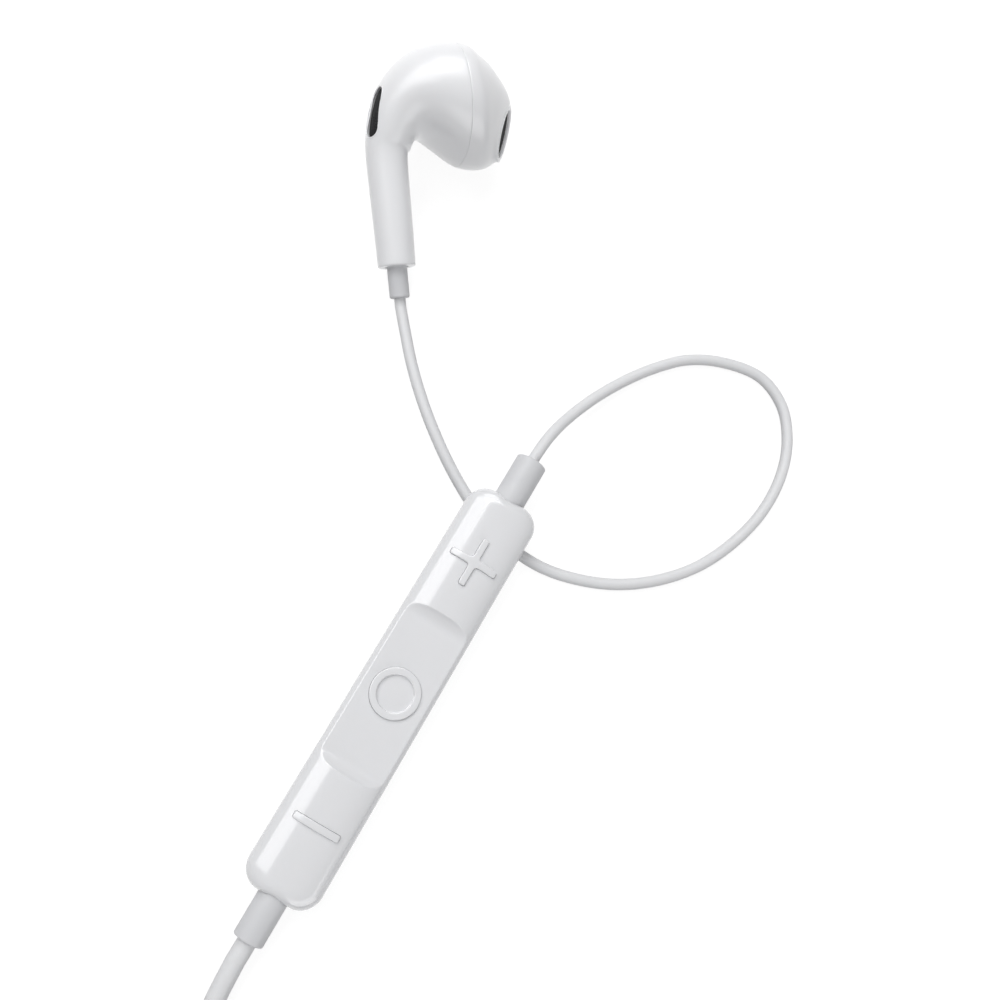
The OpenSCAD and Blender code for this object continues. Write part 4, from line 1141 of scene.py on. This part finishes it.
# ---------------------------------------------------------------- remote
PARTING = 2.3 * MM          # height of the line between cover and back
SHOULDER = 2.6 * MM         # height where the cover's crown begins
FRONT_POWER = 2.3           # fullness of the crown
END_ROUND = 1.6 * MM
END_WALL = 2.6 * MM
CAVE_HALF = 3.1 * MM        # half the width of the hollow
CAVE_TOP = 3.05 * MM
CAVE_FLOOR = 0.8 * MM
CAVE_CORNER = 0.4 * MM
EDGE_SOFT = 0.07 * MM
KEYS_SHIFT = 0.7 * MM       # distance of the play key below the remote's middle
PLUS_AT = 15.5 * MM
MINUS_AT = 14.6 * MM
BAR = 0.75 * MM
BAR_ROUND = 0.22 * MM
PLUS_SPAN = 5.4 * MM
MINUS_SPAN = 5.1 * MM
PLAY_D = 5.3 * MM
PLAY_RING = 0.75 * MM
KEY_GAP = 0.025 * MM
KEY_EDGE = 0.14 * MM
FLANGE_Z = 2.5 * MM
FLANGE_T = 0.5 * MM
CROWN_R = 9.6 * MM
# Each sleeve: its node, the remote's end, its length and its radius.
SLEEVES = (
    ("upper_sleeve", 1, 5.1 * MM, 1.75 * MM),
    ("lower_sleeve", 0, 4.4 * MM, 1.6 * MM),
)


def plan_ring(size, inset_x, inset_y, corner, columns):
    """A rounded rectangle whose long sides keep the same columns at every inset."""
    hx, hy = size.length / 2 - inset_x, size.width / 2 - inset_y
    corner = max(corner, 0)
    last = columns[-1]
    turn = [(last + (hx - corner - last) * t, -hy) for t in (0.35, 0.7)]
    turn += arc((hx - corner, -hy + corner), corner, -90, 0, 14)
    turn += [(hx, (-hy + corner) * (1 - t)) for t in (0.25, 0.5, 0.75)]
    end = turn + [(hx, 0)] + [(x, -y) for x, y in turn[::-1]]
    ring = [(x, -hy) for x in columns] + end
    ring += [(x, hy) for x in columns[::-1]] + [(-x, -y) for x, y in end]
    return [(x + size.length / 2, y) for x, y in ring]


def flat_ring(size, columns, z, inset_x, inset_y, corner):
    """The same rounded rectangle at height z."""
    return [(x, y, z) for x, y in plan_ring(size, inset_x, inset_y, corner, columns)]


def crown_height(size, inset):
    """Height of the cover's crown, inset from its long side."""
    share = 1 - min(inset / (size.width / 2), 1)
    rise = size.thickness - SHOULDER
    return SHOULDER + rise * (1 - share ** FRONT_POWER) ** (1 / FRONT_POWER)


def soft_min(a, b, k):
    """The lesser of two heights, blended where they differ by less than k."""
    h = min(max(0.5 + 0.5 * (b - a) / k, 0), 1)
    return b + (a - b) * h - k * h * (1 - h)


def dish_height(size, x):
    """Height of the finger dish's floor and ramps, rising without end past them."""
    floor, r = size.thickness - size.dish_depth, size.dish_ramp
    run = math.sqrt(r * r - (r - size.dish_depth) ** 2)
    reach = size.dish_l / 2 - run
    out = abs(x - (size.length / 2 - KEYS_SHIFT)) - reach
    if out <= 0:
        return floor
    if out <= run:
        return floor + r - math.sqrt(r * r - out * out)
    return size.thickness + (out - run) * run / (r - size.dish_depth)


def column_places(size):
    """Places along the remote, set closer where the dish's ramps rise."""
    half = size.length / 2 - size.width / 2
    places = set(np.round(np.arange(-half, half + 1e-9, 0.5 * MM), 7))
    for sign in (-1, 1):
        edge = sign * size.dish_l / 2 - KEYS_SHIFT
        places |= set(np.round(edge + np.arange(-1.8, 0.6, 0.12) * MM * sign, 7))
        places |= set(np.round(edge + np.arange(-0.35, 0.3, 0.03) * MM * sign, 7))
    kept = [-half]
    for x in sorted(places):
        if kept[-1] + 0.02 * MM < x < half - 0.02 * MM:
            kept.append(float(x))
    return kept + [half]


def front_form(size):
    """The remote's front cover: crowned, dished and hollow behind."""
    columns, half_w = column_places(size), size.width / 2
    rings = []
    steps = np.concatenate([
        np.linspace(0, 0.12, 7), np.linspace(0.16, 0.42, 7), np.linspace(0.45, 0.7, 10),
        np.linspace(0.76, 1.4, 8), np.linspace(1.55, 4.1, 16),
    ]) * MM
    for inset in steps[::-1]:
        inset = min(inset, half_w)
        share = inset / half_w
        top = crown_height(size, inset)
        rings.append([
            (x, y, soft_min(top, dish_height(size, x), 0.08 * MM))
            for x, y in plan_ring(size, share * END_ROUND, inset, size.corner * (1 - share), columns)
        ])
    soft, cave = EDGE_SOFT, half_w - CAVE_HALF
    rings += [flat_ring(size, columns, *level) for level in (
        (PARTING + soft, 0, 0, size.corner),
        (PARTING, soft, soft, size.corner - soft),
        (PARTING, END_WALL, cave, CAVE_CORNER),
        (CAVE_TOP, END_WALL, cave, CAVE_CORNER),
        (CAVE_TOP, half_w, half_w, 0),
    )]
    return skin(rings, capped=False)


def back_form(size):
    """The remote's back shell, rounded below and hollow."""
    columns, half_w = column_places(size)[::6], size.width / 2
    half = size.length / 2 - half_w
    columns = [-half] + [c for c in columns if -half < c < half - 0.1 * MM] + [half]
    soft, cave = EDGE_SOFT, half_w - CAVE_HALF
    levels = [
        (CAVE_FLOOR, half_w, half_w, 0),
        (CAVE_FLOOR, END_WALL, cave, CAVE_CORNER),
        (PARTING, END_WALL, cave, CAVE_CORNER),
        (PARTING, soft, soft, size.corner - soft),
        (PARTING - soft, 0, 0, size.corner),
    ]
    levels += [
        (drop, inset, inset, size.corner - inset) for inset, drop in quarter(BACK_ROUND, 9)
    ]
    levels.append((0, half_w, half_w, 0))
    return skin([flat_ring(size, columns, *level) for level in levels], capped=False)


def rounded_outline(corners, radii, step=0.12 * MM, turns=6):
    """An outline with its right-angled corners rounded and its straight sides divided."""
    out, count = [], len(corners)
    for i in range(count):
        at = np.array(corners[i])
        u = unit(np.array(corners[i - 1]) - at)
        v = unit(np.array(corners[(i + 1) % count]) - at)
        out.append([
            at + (u + v - u * math.sin(t) - v * math.cos(t)) * radii[i]
            for t in np.linspace(0, math.pi / 2, turns + 1)
        ])
    points = []
    for i in range(count):
        points += out[i]
        a, b = out[i][-1], out[(i + 1) % count][0]
        cuts = int(np.linalg.norm(b - a) / step)
        points += [a + (b - a) * k / (cuts + 1) for k in range(1, cuts + 1)]
    return np.array(points)


def plus_outline(grow):
    """The plus key's outline, grown all round."""
    h, b = PLUS_SPAN / 2 + grow, BAR / 2 + grow
    corners = [
        (h, -b), (h, b), (b, b), (b, h), (-b, h), (-b, b),
        (-h, b), (-h, -b), (-b, -b), (-b, -h), (b, -h), (b, -b),
    ]
    outer, inner = BAR_ROUND + grow, 0.35 * MM - grow
    return rounded_outline(corners, [outer, outer, inner] * 4)


def minus_outline(grow):
    """The minus key's outline, grown all round."""
    h, b = MINUS_SPAN / 2 + grow, BAR / 2 + grow
    return rounded_outline([(b, -h), (b, h), (-b, h), (-b, -h)], [BAR_ROUND + grow] * 4)


def key_form(outline, top_at, soft):
    """A key bar with softened edges and a crowned top, from its flange up."""
    rings = [[(x, y, FLANGE_Z) for x, y in outline(0)]]
    rings += [
        [(x, y, top_at(y) - drop) for x, y in outline(-inset)] for inset, drop in quarter(soft, 6)
    ]
    points, faces = skin(rings, capped=False)
    count = len(rings[0])
    start = len(points) - count
    faces += [tuple(start + k for k in face) for face in filled(outline(-soft))]
    faces.append(tuple(range(count))[::-1])
    return points, faces


def filled(outline):
    """Triangles that fill a flat outline, by index."""
    flat = [Vector((float(x), float(y))) for x, y in outline]
    found = delaunay_2d_cdt(flat, [], [tuple(range(len(flat)))], 1, 1e-9)
    back = {i: origin[0] for i, origin in enumerate(found[3]) if origin}
    return [tuple(back[k] for k in face) for face in found[2] if all(k in back for k in face)]


def flange_form(half_x, half_y):
    """The flat flange that holds a key under the cover."""
    corners = [(half_x, -half_y), (half_x, half_y), (-half_x, half_y), (-half_x, -half_y)]
    return prism(rounded_outline(corners, [0.3 * MM] * 4, 1, 4), FLANGE_Z, FLANGE_Z + FLANGE_T)


def joined(*forms):
    """Points and faces of several forms as one."""
    points, faces, start = [], [], 0
    for p, f in forms:
        points.append(np.asarray(p, float))
        faces += [tuple(k + start for k in face) for face in f]
        start += len(p)
    return np.concatenate(points), faces


class EARPHONE_OT_remote(bpy.types.Operator):
    """Builds the remote: front cover, back shell, keys and sleeves"""
    bl_idname = "earphones.remote"
    bl_label = "Remote"

    def execute(self, context):
        size = context.scene.earphone_remote
        lay = remote_pose(size)
        play_x = size.length / 2 - KEYS_SHIFT
        plus_x, minus_x = play_x + PLUS_AT, play_x - MINUS_AT

        cover = solid("front_cover", *front_form(size))
        circle = [
            (math.cos(a) * (PLAY_D / 2 + KEY_GAP), math.sin(a) * (PLAY_D / 2 + KEY_GAP))
            for a in np.linspace(0, 2 * math.pi, 128, endpoint=False)
        ]
        for outline, x in (
            (plus_outline(KEY_GAP), plus_x), (circle, play_x), (minus_outline(KEY_GAP), minus_x),
        ):
            points, faces = prism(outline, PARTING + 0.1 * MM, size.thickness + 1 * MM)
            cut_away(cover, solid("key_cut", points + (x, 0, 0), faces))
        back = solid("back_shell", *back_form(size))
        points, faces = lathe(filleted_rod(0.4 * MM, -0.001, 0.003, 0.0001), 32)
        cut_away(back, solid("mic_cut", points + ((play_x + plus_x) / 2, 0, 0), faces))
        for shell, node in ((cover, "remote_front_cover"), (back, "remote_back_shell")):
            bore(shell, size)
            shell.data.transform(lay)
            dress(shell, "shell_white", 35, node)

        crown, body = size.thickness + size.key_rise, size.width / 2 - 1.15 * MM

        def top_at(y):
            return crown - CROWN_R + math.sqrt(CROWN_R ** 2 - y * y)

        for node, x, form in (
            ("plus_key", plus_x, joined(
                key_form(plus_outline, top_at, KEY_EDGE), flange_form(body, body))),
            ("minus_key", minus_x, joined(
                key_form(minus_outline, top_at, KEY_EDGE), flange_form(body / 2, body))),
            ("play_key", play_x, play_form(size, body)),
        ):
            form = (form[0] + (x, 0, 0), form[1])
            laid(node + "_top", form, lay, "key_white", 35, node, body=node)
        for sleeve in SLEEVES:
            remote_sleeve(*sleeve, size, lay)
        return {"FINISHED"}


def sleeve_seat(end, size):
    """The middle of one of the remote's ends; end is 0 for the lower and 1 for the upper."""
    return Matrix.Translation((end * size.length, 0, size.thickness / 2))


def bore(shell, size):
    """Cuts the seats of the two sleeves into the shell's ends."""
    for _, end, _, r in SLEEVES:
        points, faces = lathe(
            [(0, -1 * MM), (r + 0.14 * MM, -1 * MM), (r + 0.14 * MM, 1.3 * MM), (0, 1.3 * MM)])
        lay = sleeve_seat(end, size) @ turned(-90 if end else 90, "Y")
        cut_away(shell, solid("bore_cut", placed(points, lay), faces))


def play_form(size, body):
    """The round play key: a raised ring round a level floor."""
    floor = size.thickness - size.dish_depth
    top, r, inner, soft = floor + size.key_rise, PLAY_D / 2, PLAY_D / 2 - PLAY_RING, KEY_EDGE
    profile = (
        [(0, FLANGE_Z), (body, FLANGE_Z), (body, FLANGE_Z + FLANGE_T), (r, FLANGE_Z + FLANGE_T)]
        + top_edge(r, top, soft)
        + arc((inner + soft, top - soft), soft, 90, 180, 6)
        + arc((inner - 0.06 * MM, floor - 0.02 * MM), 0.06 * MM, 0, -90, 4)
        + [(inner * 0.6, floor - 0.05 * MM), (0, floor - 0.05 * MM)]
    )
    return lathe(profile, 128)


def remote_sleeve(node, end, long_, r, size, lay):
    """A sleeve out of the remote's end, with a softened rim and a seat for the cord."""
    soft = 0.16 * MM
    profile = (
        [(0, -1.2 * MM), (r, -1.2 * MM), (r, 0), (r, long_ * 0.5)]
        + top_edge(r, long_, soft)
        + arc((1.16 * MM, long_ - 0.12 * MM), 0.12 * MM, 90, 180, 4)
        + [(1.04 * MM, long_ - 0.4 * MM), (0, long_ - 0.45 * MM)]
    )
    seat = lay @ sleeve_seat(end, size) @ turned(90 if end else -90, "Y")
    laid(node + "_skin", lathe(profile), seat, "sleeve_white", 40, node)


# ---------------------------------------------------------------- splitter, ties and plug
class BoxSize:
    """Length, width and corner of a rounded box."""

    def __init__(self, length_, width, corner):
        self.length, self.width, self.corner = length_, width, corner


def splitter_form():
    """A softly rounded block with a fine parting line round its middle."""
    size, line = BoxSize(SPLITTER_L, 7 * MM, 1.92 * MM), 0.05 * MM
    half_w = size.width / 2
    half = size.length / 2 - half_w
    columns = list(np.linspace(-half, half, 12))
    rounding = [(drop, inset) for inset, drop in quarter(1.2 * MM, 9)][::-1]
    middle = SPLITTER_T / 2
    levels = (
        [(0, half_w)] + rounding + [(middle - line, 0), (middle, line), (middle + line, 0)]
        + [(SPLITTER_T - z, inset) for z, inset in rounding[::-1]] + [(SPLITTER_T, half_w)]
    )
    return skin([
        flat_ring(size, columns, z, inset, inset, 0 if inset >= half_w else size.corner - inset)
        for z, inset in levels
    ], capped=False)


class EARPHONE_OT_splitter(bpy.types.Operator):
    """Builds the splitter and the sleeve below it"""
    bl_idname = "earphones.splitter"
    bl_label = "Splitter"

    def execute(self, context):
        lay = Matrix.Translation((SPLITTER_X, SPLITTER_Y, 0)) @ turned(-90, "Z")
        laid("splitter_shell", splitter_form(), lay, "shell_white", 40, "splitter_body")
        long_ = 3 * MM
        profile = (
            [(0, -0.3 * MM), (1.6 * MM, -0.3 * MM), (1.6 * MM, 0.1 * MM)]
            + top_edge(1.3 * MM, long_, 0.2 * MM, 5)
            + [(1.01 * MM, long_), (0, long_ - 0.1 * MM)]
        )
        lay = Matrix.Translation((SPLITTER_X, SPLITTER_Y - SPLITTER_L, SPLITTER_T / 2))
        laid(
            "splitter_sleeve_skin", lathe(profile, 64), lay @ turned(90, "X"), "sleeve_white", 40,
            "splitter_sleeve")
        return {"FINISHED"}


def tie_form(inner, outer, height, width, thick):
    """A flat band bent round a coil's turns, as rings of its section."""
    low, high = inner - thick / 2, outer + thick / 2
    bottom, top = thick / 2, height + thick / 2
    path = rounded_outline(
        [(high, bottom), (high, top), (low, top), (low, bottom)], [1.2 * MM] * 4, 0.6 * MM, 8)
    soft = 0.06 * MM
    a, b = width / 2 - soft, thick / 2 - soft
    section = (
        arc((a, b), soft, 0, 90, 3) + arc((-a, b), soft, 90, 180, 3)
        + arc((-a, -b), soft, 180, 270, 3) + arc((a, -b), soft, 270, 360, 3)
    )
    rings, count = [], len(path)
    for i in range(count):
        run = unit(path[(i + 1) % count] - path[i - 1])
        out = np.array([run[1], -run[0]])
        rings.append([
            (path[i][0] + out[0] * rise, along, path[i][1] + out[1] * rise)
            for along, rise in section
        ])
    return skin(rings, looped=True)


class EARPHONE_OT_ties(bpy.types.Operator):
    """Builds the ties that hold the three coils"""
    bl_idname = "earphones.ties"
    bl_label = "Ties"

    def execute(self, context):
        size = context.scene.earphone_cord
        for name, (middle, mean_r, _, _, turns, degrees) in COILS.items():
            d, pitch = coil_cord(name, size)
            half = pitch * turns / 4 + d / 2 + COIL_LIFT
            height = COIL_LIFT + d + pitch + 0.1 * MM
            form = tie_form(mean_r - half, mean_r + half, height, size.tie_w, 0.3 * MM)
            lay = Matrix.Translation((*middle, 0)) @ turned(degrees, "Z")
            laid(f"{name}_coil_tie", form, lay, "cord_white", 40, "coil_ties")
        return {"FINISHED"}


RELIEF_L = 7 * MM
PIN_START = 19.5 * MM       # end of the grip, along the plug
PIN_L = 14 * MM
PIN_R = 1.75 * MM
PIN_GAP = 0.6 * MM          # length of each insulating ring
TIP_L = 3.2 * MM
CORE_R = 1.1 * MM


class EARPHONE_OT_plug(bpy.types.Operator):
    """Builds the plug: grip, bend relief, contacts and insulating rings"""
    bl_idname = "earphones.plug"
    bl_label = "Plug"

    def execute(self, context):
        lay = Matrix.Translation(PLUG_AT) @ turned(90, "Y")
        rings_l = PIN_L - TIP_L - 3 * PIN_GAP
        ring_l = rings_l * 0.27
        barrel = rings_l - 2 * ring_l
        second = PIN_START + barrel + PIN_GAP
        first = second + ring_l + PIN_GAP
        tip = first + ring_l + PIN_GAP
        core = [(0, PIN_START)]
        for low in (PIN_START + barrel, first - PIN_GAP, tip - PIN_GAP):
            high, r = low + PIN_GAP, PIN_R - 0.03 * MM
            core += [(CORE_R, low), (r, low), (r, high), (CORE_R, high)]
        core += [(CORE_R, tip), (0, tip)]
        metal = "contact_metal"
        for name, profile, look, node in (
            ("plug_pin_barrel", contact(PIN_START, PIN_START + barrel), metal, "plug_barrel"),
            ("plug_pin_second", contact(second, second + ring_l), metal, "plug_second_ring"),
            ("plug_pin_first", contact(first, first + ring_l), metal, "plug_first_ring"),
            ("plug_pin_tip", tip_profile(tip), metal, "plug_tip"),
            ("plug_pin_core", core, "insulator", "plug_insulator"),
            ("plug_handle", filleted_grip(), "shell_white", "plug_grip"),
            ("plug_bend_relief", relief_profile(), "cord_white", "plug_relief"),
        ):
            laid(name, lathe(profile, 64), lay, look, 40, node)
        return {"FINISHED"}


def contact(low, high):
    """The closed section of one contact ring."""
    soft, inner = 0.05 * MM, 1.13 * MM
    edges = low_edge(PIN_R, low, soft, 3) + top_edge(PIN_R, high, soft, 3)
    return [(inner, low)] + edges + [(inner, high), (inner, low)]


def tip_profile(start):
    """The pin's pointed tip, with the waist that a socket's spring clicks into."""
    r, neck = PIN_R, PIN_R - 0.45 * MM
    knots = [
        (r - 0.1 * MM, 0.04), (r - 0.22 * MM, 0.1), (neck, 0.22), (neck, 0.28),
        (neck + 0.1 * MM, 0.34), (r - 0.12 * MM, 0.44), (r - 0.01 * MM, 0.54),
        (r - 0.1 * MM, 0.66), (r * 0.72, 0.82), (r * 0.45, 0.95), (r * 0.22, 0.995),
    ]
    way = catmull([(radius, start + TIP_L * share) for radius, share in knots], 4)
    return (
        [(0, start), (r - 0.14 * MM, start)] + [(float(x), float(z)) for x, z in way]
        + [(0, start + TIP_L)]
    )


def filleted_grip():
    """The grip between the bend relief and the pin."""
    r, edge = 2.7 * MM, 0.8 * MM
    return (
        [(0, RELIEF_L)] + low_edge(r, RELIEF_L, edge, 8) + [(r, RELIEF_L + 4 * MM)]
        + top_edge(r, PIN_START, edge, 8) + [(0, PIN_START)]
    )


def relief_profile():
    """Four soft ribs, growing towards the grip."""
    root, end, step = 1.9 * MM, 1.3 * MM, RELIEF_L / 4
    profile, soft = [(0, 0)], 0.12 * MM
    for k in range(4):
        r = end + (root - end) * k / 3
        low, high = k * step, (k + 0.6) * step
        profile += arc((r - soft, low + soft), soft, -90 if k == 0 else -80, 0, 4)
        profile += top_edge(r, high, soft, 4)
        profile += [(r - 0.25 * MM, (k + 0.68) * step), (r - 0.25 * MM, (k + 0.92) * step)]
    return profile + [(root, RELIEF_L), (0, RELIEF_L)]


class EARPHONE_OT_inside(bpy.types.Operator):
    """Gives the drivers and the remote's electronics their finishes"""
    bl_idname = "earphones.inside"
    bl_label = "Inner parts"

    def execute(self, context):
        slots = {part["node"]: part["material_slot"] for part in frame["record"]["subparts"]}
        for node, piece in frame["nodes"].items():
            if piece.hide_render:
                continue
            piece.data.materials.clear()
            piece.data.materials.append(finish(slots[node]))
        return {"FINISHED"}


# ---------------------------------------------------------------- panel and registration
OPERATORS = (
    EARPHONE_OT_stage, EARPHONE_OT_cords, EARPHONE_OT_ties, EARPHONE_OT_earbuds,
    EARPHONE_OT_remote, EARPHONE_OT_splitter, EARPHONE_OT_plug, EARPHONE_OT_inside,
    EARPHONE_OT_cord_facts,
)
SETTINGS = {
    "earphone_bud": EarbudSettings, "earphone_remote": RemoteSettings,
    "earphone_cord": CordSettings, "earphone_finish": FinishSettings,
    "earphone_stage": StageSettings,
}


class EARPHONE_PT_panel(bpy.types.Panel):
    """Sizes and steps of the earphones"""
    bl_idname = "EARPHONE_PT_panel"
    bl_label = "Wired Earphones"
    bl_space_type = "VIEW_3D"
    bl_region_type = "UI"
    bl_category = "Earphones"

    def draw(self, context):
        for name in SETTINGS:
            group = getattr(context.scene, name)
            box = self.layout.box()
            for key in group.bl_rna.properties.keys():
                if key not in ("rna_type", "name"):
                    box.prop(group, key)
        for operator in OPERATORS:
            self.layout.operator(operator.bl_idname)


def register():
    for kind in (*SETTINGS.values(), *OPERATORS, EARPHONE_PT_panel):
        bpy.utils.register_class(kind)
    for name, kind in SETTINGS.items():
        setattr(bpy.types.Scene, name, bpy.props.PointerProperty(type=kind))


def unregister():
    for name in SETTINGS:
        delattr(bpy.types.Scene, name)
    for kind in (EARPHONE_PT_panel, *OPERATORS[::-1], *list(SETTINGS.values())[::-1]):
        bpy.utils.unregister_class(kind)


def main():
    register()
    for operator in OPERATORS:
        group, call = operator.bl_idname.split(".")
        getattr(getattr(bpy.ops, group), call)()


if __name__ == "__main__":
    main()
